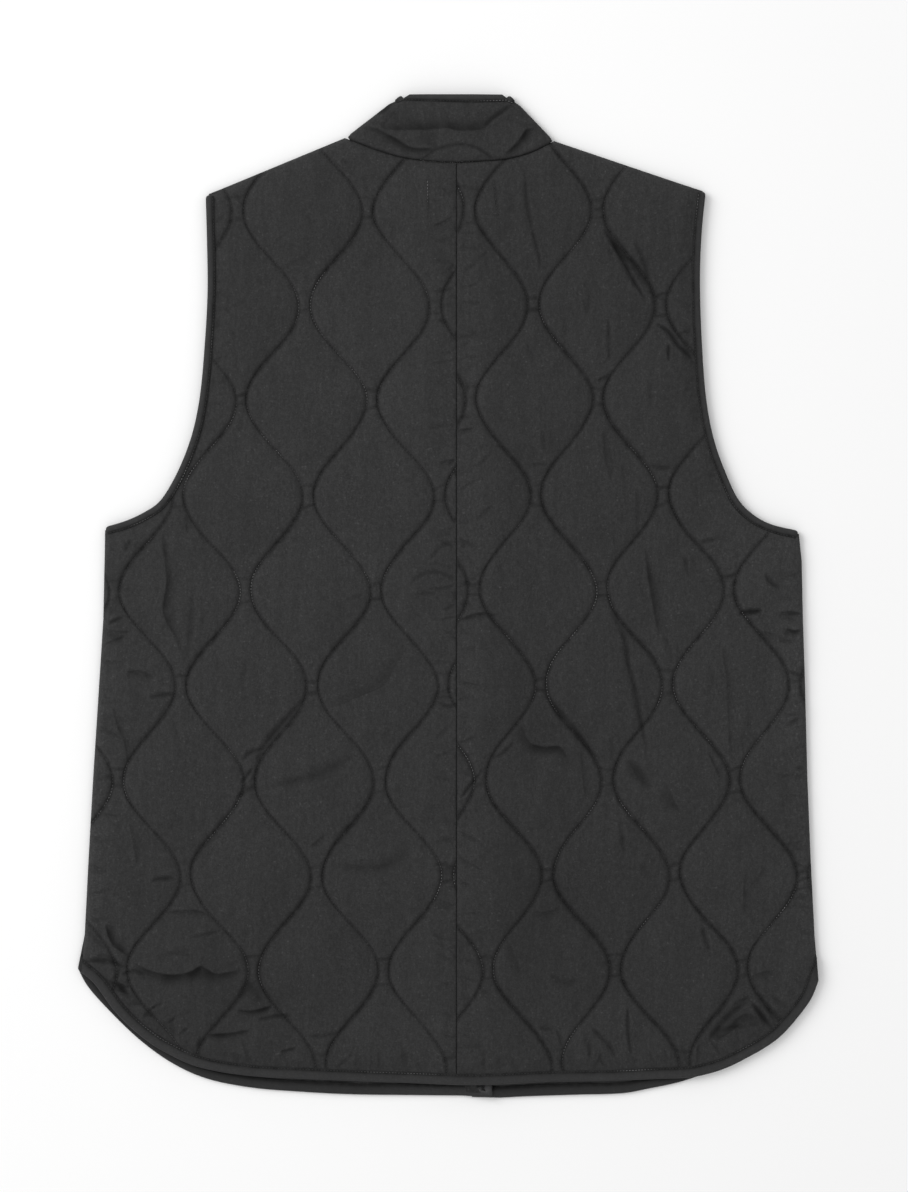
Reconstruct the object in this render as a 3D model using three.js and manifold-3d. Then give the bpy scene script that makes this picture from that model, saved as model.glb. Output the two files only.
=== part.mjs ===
import * as THREE from "three";
import { mergeVertices } from "three/addons/utils/BufferGeometryUtils.js";
import Module from "manifold-3d";

// Quilted vest lying flat on its front, with its back up.
// Millimetres. X runs to the wearer's right from the centre back seam, Y ("up") runs from the
// lowest point of the front hem to the collar, and Z stands on the table.

const wasm = await Module();
wasm.setup();

// Cloth: each wall is two faces of cloth over a thin wadding
const gap = 0.3;
const plainWall = 3.2;
const stitchedWall = 1.6;
const quiltedWall = 4.2;
const backLevel = plainWall + gap;
const foldRadius = backLevel / 2;
const foldAxis = (plainWall + backLevel) / 2;
const foldReach = foldRadius + plainWall / 2;
const foldSteps = 5;

// Widths of the bound edges
const armholeBinding = 6.4;
const hemBinding = 9;
const collarBinding = 6.4;

// Centre front: the left front laps over the right one, on a line that leans a little
const frontLap = 16;
const centreFrontAtHem = 20;
const centreFrontAtCollar = -3;
const collarTopInFront = 721;
const neckInFront = 668;
const lapLift = plainWall + gap;
const frontArmholeDepth = 12;

// Quilting: pairs of waves that close to a node and open to a belly, an onion pattern
const quiltPeriod = 148.3;
const nodeGap = 8.6;
const rowsPerPeriod = 10;
const quiltRowStep = quiltPeriod / rowsPerPeriod;
const quiltRowsAboveNode = 12;
const quiltRowsBelowNode = 44;
const puffProfile = table("along puff", [0, 0], [0.1, 0.62], [0.32, 0.95], [0.68, 0.95], [0.9, 0.62]);

// Edges of the panels, for the wearer's left and right half: out is the distance from the centre
// back seam, up is the height over the lowest point of the hem
const halves = {
  left: {
    sign: -1,
    neck: table("out up", [0, 730.3], [16, 731], [37, 733.5], [53.5, 737.5], [74.5, 745], [87, 750]),
    armhole: table("out up",
      [196, 705], [195, 670], [194.5, 631], [196.5, 592], [201, 545], [208, 514],
      [221, 483], [233, 465], [245, 457], [258, 451], [274.5, 446]),
    side: table("out up", [275, 420], [276, 374], [279, 327], [284, 249], [287.5, 187], [290.5, 128]),
    backHem: table("out up",
      [293, 98], [284, 90.5], [268, 69], [255.5, 56], [238, 42], [226, 35], [207, 26],
      [184.5, 20.5], [153, 16.5], [122, 15], [60, 12.5], [0, 10.7]),
    frontHem: table("out up",
      [296, 101], [289, 88], [270, 66.5], [245, 43], [220.5, 26], [195.5, 15],
      [161, 8], [122, 4.7], [83, 2.7], [30, 2], [-4, 1.7]),
    collarFront: table("baseOut baseUp topOut topUp",
      [87, 750, 43.5, 783.5], [84, 721, 41, 762], [71, 697, 37, 744], [49, 680, 30, 729],
      [17.3, 669, 19, 722]),
    // The waves run along columns of nodes. One column goes through x at the height up, and
    // drifts by lean and bend below it. The others are a pitch apart.
    quilting: { x: -118.6, up: 618.3, lean: 0.0207, bend: 0, pitch: 51.1, first: -5, last: 4 },
  },
  right: {
    sign: 1,
    neck: table("out up", [0, 730.3], [20, 731.5], [40, 733.5], [59, 739], [76, 747.5]),
    armhole: table("out up",
      [194.5, 707.5], [191.5, 678], [190, 643], [191, 600], [195, 545], [201, 514],
      [209, 491], [221, 466], [234, 454], [246, 448], [267, 443]),
    side: table("out up", [269.5, 420], [270.5, 374], [272, 327], [274, 249], [276.5, 187], [279.5, 128]),
    backHem: table("out up",
      [282.5, 91.5], [277, 78], [265, 61.5], [252.5, 48], [240, 39], [227.5, 32], [209, 23],
      [184.5, 16.5], [157, 15], [120.5, 13.4], [65, 12.3], [25, 10.7], [0, 10.7]),
    frontHem: table("out up",
      [281.5, 92], [276, 79], [264, 63], [251.5, 49.5], [239, 40], [227, 33], [208, 24],
      [182, 14.6], [170.5, 11.3], [151, 7.3], [131.5, 3.7], [92, 2.3], [53, 1], [34, 0]),
    collarFront: table("baseOut baseUp topOut topUp",
      [76, 747.5, 41.5, 783.5], [73.5, 718, 37.5, 762], [61, 695, 30, 745], [40, 679, 17, 729],
      [0, 668, -1.7, 721]),
    quilting: { x: 159.7, up: 619.5, lean: 0.0059, bend: 0.000041, pitch: 49.7, first: -5, last: 4 },
  },
};

// Where the back rises over the lapped fronts: off is the distance from the centre front line
const backRidge = table("off rise",
  [-44, 0], [-35, 0.15], [-25, 0.7], [-16, 1], [16, 1], [25, 0.7], [34, 0.15], [43, 0]);
const lapRamp = table("off rise", [-16, 0], [-8.3, 1], [20, 1]);

// The centre back seam: off is the distance from the seam, high is the height over the underside
const backSeam = table("off high", [0.15, 1.9], [2, 3.1], [5, 4.1], [9, 4.9]);

// Panels have rounded rims, except in the zone where the back and the left front are raised
const backRim = { height: 2.4, width: 4 };
const frontRim = { height: 1.6, width: 3 };
const raisedZone = 70;

// Reaches past every edge of the vest, for the solids that shape a panel
const past = { side: 400, hem: -50, collar: 850, top: 40 };

// The largest folds in the back, as troughs between two ends
const folds = table("fromX fromUp toX toUp depth width",
  [-254, 108, -166, 100, 1.3, 9],
  [-291, 107, -253, 91, 1, 8],
  [-114, 313, -152, 265, 0.7, 10],
  [112, 686, 162, 623, 1.2, 9],
  [155, 608, 183, 580, 1, 8],
  [148, 430, 168, 337, 0.7, 9],
  [132, 362, 150, 265, 0.7, 9],
  [229, 77, 184, 34, 1.2, 9],
  [56, 728, 64, 660, 0.6, 9]);

// Sections: along runs from the inner edge to the outer edge, through from the wearer's side outwards
const bindingSection = table("along through",
  [0, -0.25], [0.1, -0.5], [0.82, -0.5], [1, -0.2], [1, 0.2], [0.82, 0.5], [0.1, 0.5], [0, 0.25]);
const collarRows = [0, 0.2, 0.4, 0.6, 0.8, 1];
const collarSection = [
  ...collarRows.map((along) => ({ along, through: -0.5 })),
  ...collarRows.toReversed().map((along) => ({ along, through: 0.5 })),
];
const collarPuff = 0.9;
const puffFade = 0.2;

function table(columns, ...rows) {
  const names = columns.split(" ");
  return rows.map((row) => Object.fromEntries(names.map((name, i) => [name, row[i]])));
}

function readTable(rows, keyColumn, valueColumn, key) {
  if (key <= rows[0][keyColumn]) return rows[0][valueColumn];
  for (let i = 1; i < rows.length; i++) {
    const low = rows[i - 1];
    const high = rows[i];
    if (key <= high[keyColumn]) {
      const part = (key - low[keyColumn]) / (high[keyColumn] - low[keyColumn]);
      return THREE.MathUtils.lerp(low[valueColumn], high[valueColumn], part);
    }
  }
  return rows.at(-1)[valueColumn];
}

const centreFrontLean = (centreFrontAtCollar - centreFrontAtHem) / collarTopInFront;
const centreFront = (up) => centreFrontAtHem + centreFrontLean * up;
const backRise = (x, up) => lapLift * readTable(backRidge, "off", "rise", x - centreFront(up));
const leftFrontRise = (x, up) => lapLift * readTable(lapRamp, "off", "rise", x - centreFront(up));
const noRise = () => 0;

// Plane lines

function smoothLine(points, count) {
  const curve = new THREE.CatmullRomCurve3(points.map((p) => new THREE.Vector3(p.x, p.y, 0)), false);
  return curve.getSpacedPoints(count).map((p) => new THREE.Vector2(p.x, p.y));
}

function edgeLine(half, rows, count) {
  return smoothLine(rows.map((row) => new THREE.Vector2(half.sign * row.out, row.up)), count);
}

// Moves a line to its left by the distance, with mitred corners
function offsetLine(points, distance) {
  return points.map((point, i) => {
    const before = points[Math.max(i - 1, 0)];
    const after = points[Math.min(i + 1, points.length - 1)];
    const arriving = (i ? point.clone().sub(before) : after.clone().sub(point)).normalize();
    const leaving = (i < points.length - 1 ? after.clone().sub(point) : arriving.clone()).normalize();
    const middle = arriving.clone().add(leaving).normalize();
    const reach = distance / middle.dot(arriving);
    return new THREE.Vector2(point.x - middle.y * reach, point.y + middle.x * reach);
  });
}

// The point where the line ab meets the line cd
function meet(a, b, c, d) {
  const ab = b.clone().sub(a);
  const cd = d.clone().sub(c);
  const part = c.clone().sub(a).cross(cd) / ab.cross(cd);
  return a.clone().addScaledVector(ab, part);
}

// Closed solids

// Joins rings of points that follow each other. Each ring runs along one face and back along the
// other, so that its first and last points lie opposite each other.
function loft(rings, closed = false) {
  const count = rings[0].length;
  const points = rings.flat();
  const faces = [];
  const addQuad = (a, b, c, d) => faces.push([a, b, c], [a, c, d]);
  for (let r = 0; r < rings.length - (closed ? 0 : 1); r++) {
    const here = r * count;
    const next = ((r + 1) % rings.length) * count;
    for (let k = 0; k < count; k++) {
      const m = (k + 1) % count;
      addQuad(here + k, here + m, next + m, next + k);
    }
  }
  if (!closed) {
    const end = points.length - count;
    for (let k = 0; k < count / 2 - 1; k++) {
      addQuad(k + 1, k, count - 1 - k, count - 2 - k);
      addQuad(end + k, end + k + 1, end + count - 2 - k, end + count - 1 - k);
    }
  }
  const volume = faces.reduce(
    (sum, [a, b, c]) => sum + points[a].dot(points[b].clone().cross(points[c])), 0);
  const outward = volume > 0 ? faces : faces.map(([a, b, c]) => [a, c, b]);
  const geometry = new THREE.BufferGeometry().setFromPoints(points);
  geometry.setIndex(outward.flat());
  return geometry;
}

function solidOf(geometry) {
  const bare = geometry.clone();
  bare.deleteAttribute("normal");
  bare.deleteAttribute("uv");
  const merged = mergeVertices(bare);
  return new wasm.Manifold(new wasm.Mesh({
    numProp: 3,
    vertProperties: merged.attributes.position.array,
    triVerts: new Uint32Array(merged.index.array),
  }));
}

function geometryOf(solid) {
  const mesh = solid.getMesh();
  const geometry = new THREE.BufferGeometry();
  geometry.setAttribute("position", new THREE.BufferAttribute(mesh.vertProperties, 3));
  geometry.setIndex(new THREE.BufferAttribute(mesh.triVerts, 1));
  return geometry;
}

// An outline with straight walls from low to high, and rounded rims above and below them
function prism(outline, low, high, rimHeight = 0, rimWidth = 0) {
  const geometry = new THREE.ExtrudeGeometry(new THREE.Shape(outline), {
    depth: high - low,
    bevelEnabled: rimHeight > 0,
    bevelThickness: rimHeight,
    bevelSize: rimWidth,
    bevelOffset: -rimWidth,
    bevelSegments: 2,
  });
  return solidOf(geometry.translate(0, 0, low));
}

// A section in X and Z that runs the whole length of the vest. It leans with the centre front
// where its x is measured from that line.
function runner(section, fromCentreFront) {
  const shape = new THREE.Shape(section.map(([x, z]) => new THREE.Vector2(x, z)));
  const geometry = new THREE.ExtrudeGeometry(shape, { depth: past.collar - past.hem, bevelEnabled: false });
  geometry.rotateX(Math.PI / 2).translate(0, past.collar, 0);
  if (fromCentreFront) {
    geometry.applyMatrix4(new THREE.Matrix4().set(
      1, centreFrontLean, 0, centreFrontAtHem, 0, 1, 0, 0, 0, 0, 1, 0, 0, 0, 0, 1));
  }
  return solidOf(geometry);
}

// A strip of cloth with a thickness. A station's turn is 0 in the upper layer and pi in the lower
// one; between them the strip bends round a fold that points away.
function strip(stations, section, closed = false) {
  const rings = stations.map(({ inner, outer, turn = 0, away, rise = noRise, puff = 0 }) =>
    section.map(({ along, through }) => {
      const flat = inner.clone().lerp(outer, along);
      const swell = through > 0 ? puff * Math.sin(Math.PI * along) : 0;
      const radius = foldRadius + through * plainWall + swell;
      const z = foldAxis + radius * Math.cos(turn) + rise(flat.x, flat.y);
      if (away) flat.addScaledVector(away, radius * Math.sin(turn));
      return new THREE.Vector3(flat.x, flat.y, z);
    }));
  return loft(rings, closed);
}

// The stations of a fold, between two stations that lie on each other
function foldStations(from, to, away) {
  const stations = [];
  for (let k = 1; k < foldSteps; k++) {
    const part = k / foldSteps;
    stations.push({
      inner: from.inner.clone().lerp(to.inner, part),
      outer: from.outer.clone().lerp(to.outer, part),
      turn: THREE.MathUtils.lerp(from.turn, to.turn, part),
      away,
    });
  }
  return stations;
}

// The shape of each half, worked out once

// A line on the cloth's side of an edge. Its ends lie on the neighbouring edges, where given.
function insetLine(line, distance, startOn, endOn) {
  const inset = offsetLine(line, distance);
  if (startOn) inset[0] = meet(inset[0], inset[1], line[0], startOn);
  if (endOn) inset[inset.length - 1] = meet(inset.at(-2), inset.at(-1), line.at(-1), endOn);
  return inset;
}

function deepened(line, depth) {
  const inward = offsetLine(line, 1);
  return line.map((point, i) => {
    const share = Math.sin(Math.PI * i / (line.length - 1));
    return point.clone().lerp(inward[i], depth * share);
  });
}

for (const half of Object.values(halves)) {
  const { sign } = half;
  const lapEdge = (up) => new THREE.Vector2(centreFront(up) - sign * frontLap / 2, up);
  const rampEnd = new THREE.Vector2(centreFront(0) + lapRamp[1].off, 1.4);
  half.neckLine = edgeLine(half, half.neck, 8);
  half.neckPoint = half.neckLine.at(-1);
  half.collarTip = new THREE.Vector2(sign * half.collarFront[0].topOut, half.collarFront[0].topUp);
  half.backArmhole = edgeLine(half, half.armhole, 16);
  half.frontArmhole = deepened(half.backArmhole, -sign * frontArmholeDepth);
  half.sideLine = half.side.map((row) => new THREE.Vector2(sign * row.out, row.up));
  half.backHemLine = edgeLine(half, half.backHem, 18);
  half.frontEdgeLine = [
    ...edgeLine(half, half.frontHem, 16),
    ...(sign < 0 ? [rampEnd] : []),
    lapEdge(0.5), lapEdge(neckInFront / 2), lapEdge(collarTopInFront)];
  const baseRows = half.collarFront.map((row) => new THREE.Vector2(sign * row.baseOut, row.baseUp));
  const topRows = half.collarFront.map((row) => new THREE.Vector2(sign * row.topOut, row.topUp));
  half.collarBase = smoothLine(baseRows, 8);
  half.collarTop = smoothLine(topRows, 8);
}

// Panels

function panelOutline(half, armhole, neck, hem) {
  const edge = insetLine(armhole, -half.sign * (armholeBinding + gap), half.neckPoint, half.sideLine[0]);
  return [...neck, ...edge, ...half.sideLine, ...hem];
}

function backOutline(half) {
  const hem = insetLine(half.backHemLine, -half.sign * (hemBinding + gap), half.sideLine.at(-1));
  const neck = half.neckLine.map((p) => new THREE.Vector2(p.x, p.y - gap));
  hem.at(-1).x = half.sign * gap / 2;
  neck[0].x = half.sign * gap / 2;
  return panelOutline(half, half.backArmhole, neck, hem);
}

// The distance from the centre front line to where the front's cloth ends, beside its binding
const clothEdge = hemBinding + gap - frontLap / 2;

function frontOutline(half) {
  const edge = insetLine(half.frontEdgeLine, -half.sign * (hemBinding + gap), half.sideLine.at(-1));
  const neck = offsetLine(half.collarBase, half.sign * gap).toReversed();
  const neckEnd = new THREE.Vector2(centreFront(neckInFront) + half.sign * clothEdge, neckInFront - gap);
  const rampedNeck = half.sign < 0 ? neck : neck.slice(1);
  return panelOutline(half, half.frontArmhole, [neckEnd, ...rampedNeck], edge.slice(0, -2));
}

function foldDepth(x, up) {
  return folds.reduce((sum, { fromX, fromUp, toX, toUp, depth, width }) => {
    const alongX = toX - fromX;
    const alongUp = toUp - fromUp;
    const length = Math.hypot(alongX, alongUp);
    const part = ((x - fromX) * alongX + (up - fromUp) * alongUp) / length ** 2;
    const side = ((x - fromX) * alongUp - (up - fromUp) * alongX) / length;
    const fade = Math.max(0, 1 - (2 * part - 1) ** 4);
    return sum + depth * fade * Math.exp(-((side / width) ** 2));
  }, 0);
}

// How far a wave lies from the middle of its column, at a drop below a node
function waveOpening(drop, pitch) {
  const share = (1 - Math.cos(2 * Math.PI * drop / quiltPeriod)) / 2;
  return nodeGap / 2 + (pitch - nodeGap) * share;
}

// The quilted top of a back half, as sections across it from the hem to the collar
function quiltedSlab(half) {
  const { x: columnX, up: nodeUp, lean, bend, pitch, first, last } = half.quilting;
  const widest = 2 * pitch - nodeGap;
  const waveLine = (index, drop) => {
    const even = 2 * Math.floor(index / 2);
    const column = columnX + lean * drop + bend * drop ** 2 + even * pitch;
    return column + (index === even ? -1 : 1) * waveOpening(drop, pitch);
  };
  const rings = [];
  for (let row = -quiltRowsAboveNode; row <= quiltRowsBelowNode; row++) {
    const drop = row * quiltRowStep;
    const up = nodeUp - drop;
    const top = [];
    for (let index = first; index < last; index++) {
      const low = waveLine(index, drop);
      const width = waveLine(index + 1, drop) - low;
      for (const { along, puff } of puffProfile) {
        const x = low + along * width;
        const wall = stitchedWall + (quiltedWall - stitchedWall) * puff * Math.sqrt(width / widest);
        top.push(new THREE.Vector3(x, up, backLevel + backRise(x, up) + wall - foldDepth(x, up)));
      }
    }
    const bottom = top.map((p) => new THREE.Vector3(p.x, p.y, 0)).toReversed();
    rings.push([...top, ...bottom]);
  }
  return solidOf(loft(rings));
}

// The room over the fronts, with the ridge over their lap
const backRoom = runner([
  [-past.side, backLevel],
  ...backRidge.map(({ off, rise }) => [off, backLevel + lapLift * rise]),
  [past.side, backLevel],
  [past.side, past.top],
  [-past.side, past.top],
], true);

// A back half's room beside the centre back seam, where the wadding thins
function seamRoom(sign) {
  const seamLevel = backLevel + lapLift;
  return runner([
    [sign * backSeam[0].off, 0],
    ...backSeam.map(({ off, high }) => [sign * off, seamLevel + high]),
    [sign * backSeam.at(-1).off, past.top],
    [sign * past.side, past.top],
    [sign * past.side, 0],
  ], false);
}

// A panel's room in plan: walls with a rim, and taller plain walls in the raised zone
function panelRoom(outline, low, high, rim) {
  const zone = [[-1, past.hem], [1, past.hem], [1, past.collar], [-1, past.collar]]
    .map(([side, up]) => new THREE.Vector2(side * raisedZone, up));
  const raised = prism(outline, -1, past.top).intersect(prism(zone, -1, past.top));
  return prism(outline, low, high, rim.height, rim.width).add(raised);
}

function backPanel(half) {
  const room = panelRoom(backOutline(half), backLevel, backLevel + quiltedWall - backRim.height, backRim);
  return geometryOf(quiltedSlab(half).intersect(backRoom).intersect(seamRoom(half.sign)).intersect(room));
}

function frontPanel(half) {
  const ramp = half.sign < 0 ? lapRamp : [{ off: -past.side, rise: 0 }];
  const under = ramp.map(({ off, rise }) => [off, lapLift * rise]);
  const over = under.map(([x, z]) => [x, z + plainWall]).toReversed();
  const side = half.sign * past.side;
  const slab = runner([[side, 0], ...under, ...over, [side, plainWall]], true);
  return geometryOf(slab.intersect(panelRoom(frontOutline(half), frontRim.height, plainWall, frontRim)));
}

// Collar, one strip from one front edge round the back to the other

function collarStations() {
  const { left, right } = halves;
  const wallEdge = (half, up) => new THREE.Vector2(centreFront(up) + half.sign * clothEdge, up);
  const frontPart = (half) => {
    const rise = half.sign < 0 ? leftFrontRise : noRise;
    const stations = half.collarBase.slice(1).map((inner, i) => (
      { inner, outer: half.collarTop[i + 1], turn: Math.PI, rise }));
    if (half.sign < 0) {
      const rampX = (up) => new THREE.Vector2(centreFront(up) + lapRamp[1].off, up);
      stations.push({ inner: rampX(neckInFront + 0.5), outer: rampX(collarTopInFront), turn: Math.PI, rise });
    } else {
      stations.pop();
    }
    const end = { inner: wallEdge(half, neckInFront), outer: wallEdge(half, collarTopInFront) };
    return [...stations, { ...end, turn: Math.PI, rise }];
  };
  // The fold at a shoulder lies inside the collar's outline by the reach of its bend
  const foldPart = (half) => {
    const slope = half.collarTip.clone().sub(half.neckPoint).normalize();
    const away = new THREE.Vector2(-half.sign * -slope.y, half.sign * -slope.x);
    const start = half.neckPoint.clone().addScaledVector(away, -foldReach);
    const end = half.collarTip.clone().addScaledVector(away, -foldReach);
    const inner = meet(start, end, half.neckPoint, half.neckLine.at(-2));
    const upper = { inner, outer: end, turn: 0 };
    const lower = { inner, outer: end, turn: Math.PI };
    return [upper, ...foldStations(upper, lower, away), lower];
  };
  const backBase = [...left.neckLine.slice(0, -1).toReversed(), ...right.neckLine.slice(1, -1)];
  const backPart = backBase.map((inner) => {
    const part = (inner.x - left.neckPoint.x) / (right.neckPoint.x - left.neckPoint.x);
    return {
      inner,
      outer: left.collarTip.clone().lerp(right.collarTip, part),
      rise: backRise,
      puff: collarPuff * Math.min(1, part / puffFade, (1 - part) / puffFade),
    };
  });
  return [
    ...frontPart(left).toReversed(),
    ...foldPart(left).toReversed(),
    ...backPart,
    ...foldPart(right),
    ...frontPart(right),
  ];
}

// The strip beside the outer edge of each station, and the rest of it
function outerPart(stations, width) {
  return stations.map((station) => {
    const part = 1 - width / station.inner.distanceTo(station.outer);
    return { ...station, inner: station.inner.clone().lerp(station.outer, part), puff: 0 };
  });
}

function innerPart(stations, width) {
  return stations.map((station) => {
    const part = 1 - width / station.inner.distanceTo(station.outer);
    return { ...station, outer: station.inner.clone().lerp(station.outer, part) };
  });
}

// Bindings

function stationsBetween(inner, outer, extra) {
  return outer.map((point, i) => ({ inner: inner[i], outer: point, ...extra }));
}

function armholeRing(half) {
  const { sign } = half;
  const path = (line, turn) => {
    const inner = offsetLine(line, -sign * armholeBinding);
    const stations = stationsBetween(inner, line, { turn });
    // The folds at the shoulder and under the arm lie inside the outline by the reach of their bend
    for (const [end, next] of [[0, 1], [stations.length - 1, stations.length - 2]]) {
      const step = line[next].clone().sub(line[end]).setLength(foldReach);
      stations[end].inner = stations[end].inner.clone().add(step);
      stations[end].outer = stations[end].outer.clone().add(step);
    }
    return stations;
  };
  const back = path(half.backArmhole, 0);
  const front = path(half.frontArmhole, Math.PI).toReversed();
  const line = half.backArmhole;
  const beyondUnderarm = line.at(-1).clone().sub(line.at(-2)).normalize();
  const beyondShoulder = line[0].clone().sub(line[1]).normalize();
  return strip([
    ...back,
    ...foldStations(back.at(-1), front[0], beyondUnderarm),
    ...front,
    ...foldStations(front.at(-1), back[0], beyondShoulder),
  ], bindingSection, true);
}

function backHemBinding() {
  const halfOf = (half) => {
    const inner = insetLine(half.backHemLine, -half.sign * hemBinding, half.sideLine.at(-1));
    inner.at(-1).x = 0;
    return stationsBetween(inner, half.backHemLine, { rise: backRise });
  };
  return strip([...halfOf(halves.left), ...halfOf(halves.right).toReversed().slice(1)], bindingSection);
}

function frontBinding(half) {
  const inner = insetLine(half.frontEdgeLine, -half.sign * hemBinding, half.sideLine.at(-1));
  const rise = half.sign < 0 ? leftFrontRise : noRise;
  return strip(stationsBetween(inner, half.frontEdgeLine, { turn: Math.PI, rise }), bindingSection);
}

// The vest

const cloth = new THREE.MeshStandardMaterial({ color: 0x343434, roughness: 0.85, metalness: 0 });
const tape = new THREE.MeshStandardMaterial({ color: 0x303031, roughness: 0.8, metalness: 0 });

const vest = new THREE.Group();

function addPiece(name, geometry, material) {
  geometry.computeVertexNormals();
  const mesh = new THREE.Mesh(geometry, material);
  mesh.name = name;
  vest.add(mesh);
}

const collar = collarStations();
for (const [name, half] of Object.entries(halves)) {
  addPiece(`back_${name}`, backPanel(half), cloth);
  addPiece(`front_${name}`, frontPanel(half), cloth);
  addPiece(`armhole_binding_${name}`, armholeRing(half), tape);
  addPiece(`front_binding_${name}`, frontBinding(half), tape);
}
addPiece("hem_binding_back", backHemBinding(), tape);
addPiece("collar", strip(innerPart(collar, collarBinding + gap), collarSection), cloth);
addPiece("collar_binding", strip(outerPart(collar, collarBinding), bindingSection), tape);

// The origin is at the middle of the vest's underside
const box = new THREE.Box3().setFromObject(vest);
const middle = box.getCenter(new THREE.Vector3());
for (const mesh of vest.children) mesh.geometry.translate(-middle.x, -middle.y, -box.min.z);

export default vest;
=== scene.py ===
import math

import bpy
import numpy as np
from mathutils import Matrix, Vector
from mathutils.geometry import delaunay_2d_cdt


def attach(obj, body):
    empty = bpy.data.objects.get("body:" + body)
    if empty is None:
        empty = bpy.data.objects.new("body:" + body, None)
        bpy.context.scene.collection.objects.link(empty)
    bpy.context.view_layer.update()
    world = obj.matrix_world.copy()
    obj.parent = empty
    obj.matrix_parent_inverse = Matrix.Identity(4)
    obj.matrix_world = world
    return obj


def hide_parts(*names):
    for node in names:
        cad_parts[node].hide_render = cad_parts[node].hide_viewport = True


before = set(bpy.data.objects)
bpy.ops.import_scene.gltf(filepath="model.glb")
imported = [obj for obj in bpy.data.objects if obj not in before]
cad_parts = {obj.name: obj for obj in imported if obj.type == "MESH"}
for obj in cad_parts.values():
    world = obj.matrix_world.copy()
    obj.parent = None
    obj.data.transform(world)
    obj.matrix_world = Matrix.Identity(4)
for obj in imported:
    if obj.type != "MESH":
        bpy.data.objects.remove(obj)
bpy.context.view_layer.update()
print("frame loaded")

plan = {
    "shiftX": 6.75,  # from the plan to the row frame
    "shiftUp": -391.75,
    "wall": 3.2,  # a plain layer
    "backLevel": 3.5,  # underside of the back, over the fronts
    "armholeBinding": 6.4,
    "hemBinding": 9.0,
    "collarBinding": 6.4,
    "frontLap": 16.0,
    "centreFrontAtHem": 20.0,
    "centreFrontAtCollar": -3.0,
    "collarTopInFront": 721.0,
    "neckInFront": 668.0,
    "lapLift": 3.5,
    "frontArmholeDepth": 12.0,
    "tuck": 0.62,  # how deep a cut edge sits in its binding, as a share of the width
    "seamGap": 0.3,  # between pieces that are sewn together
    "lapSlope": 7.7,  # over which the left front climbs onto the right one
    "top": 760,  # no piece of cloth reaches past this, up or to a side
    "farSide": 300,
}

# Edges of the left and right half, as (out from the centre, up)
halves = {
    "left": {
        "sign": -1,
        "neck": [(0, 730.3), (16, 731), (37, 733.5), (53.5, 737.5), (74.5, 745), (87, 750)],
        "armhole": [(196, 705), (195, 670), (194.5, 631), (196.5, 592), (201, 545), (208, 514),
                    (221, 483), (233, 465), (245, 457), (258, 451), (274.5, 446)],
        "side": [(275, 420), (276, 374), (279, 327), (284, 249), (287.5, 187), (290.5, 128)],
        "backHem": [(293, 98), (284, 90.5), (268, 69), (255.5, 56), (238, 42), (226, 35), (207, 26),
                    (184.5, 20.5), (153, 16.5), (122, 15), (60, 12.5), (0, 10.7)],
        "frontHem": [(296, 101), (289, 88), (270, 66.5), (245, 43), (220.5, 26), (195.5, 15),
                     (161, 8), (122, 4.7), (83, 2.7), (30, 2), (-4, 1.7)],
        "collarBase": [(87, 750), (84, 721), (71, 697), (49, 680), (17.3, 669)],
        "collarTop": [(43.5, 783.5), (41, 762), (37, 744), (30, 729), (19, 722)],
        "quilting": {"x": -118.6, "up": 618.3, "lean": 0.0207, "bend": 0.0, "pitch": 51.1},
        "pull": (0.42, 0.75),  # how hard the stitches draw in, and what a line's lean adds, which set the painted shade along the stitch lines
    },
    "right": {
        "sign": 1,
        "neck": [(0, 730.3), (20, 731.5), (40, 733.5), (59, 739), (76, 747.5)],
        "armhole": [(194.5, 707.5), (191.5, 678), (190, 643), (191, 600), (195, 545), (201, 514),
                    (209, 491), (221, 466), (234, 454), (246, 448), (267, 443)],
        "side": [(269.5, 420), (270.5, 374), (272, 327), (274, 249), (276.5, 187), (279.5, 128)],
        "backHem": [(282.5, 91.5), (277, 78), (265, 61.5), (252.5, 48), (240, 39), (227.5, 32),
                    (209, 23), (184.5, 16.5), (157, 15), (120.5, 13.4), (65, 12.3), (25, 10.7), (0, 10.7)],
        "frontHem": [(281.5, 92), (276, 79), (264, 63), (251.5, 49.5), (239, 40), (227, 33),
                     (208, 24), (182, 14.6), (170.5, 11.3), (151, 7.3), (131.5, 3.7), (92, 2.3),
                     (53, 1), (34, 0)],
        "collarBase": [(76, 747.5), (73.5, 718), (61, 695), (40, 679), (0, 668)],
        "collarTop": [(41.5, 783.5), (37.5, 762), (30, 745), (17, 729), (-1.7, 721)],
        "quilting": {"x": 159.7, "up": 619.5, "lean": 0.0059, "bend": 0.000041, "pitch": 49.7},
        "pull": (0.72, -0.35),
    },
}


def heldBack(binding):  # from the outer edge of a binding to the cut edge in it
    return plan[binding] * (1 - plan["tuck"])


# Lines in the plan

def evenly(line, count, start=0.0, end=0.0):  # in steps, from start to end mm before its end
    line = np.asarray(line, float)
    far = np.r_[0, np.cumsum(np.linalg.norm(np.diff(line, axis=0), axis=1))]
    at = np.linspace(start, far[-1] - end, count + 1)
    return np.stack([np.interp(at, far, column) for column in line.T], 1)


def lengthOf(line):
    return np.linalg.norm(np.diff(line, axis=0), axis=1).sum()


def closedLine(ring):
    return np.vstack([ring, ring[:1]])


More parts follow.
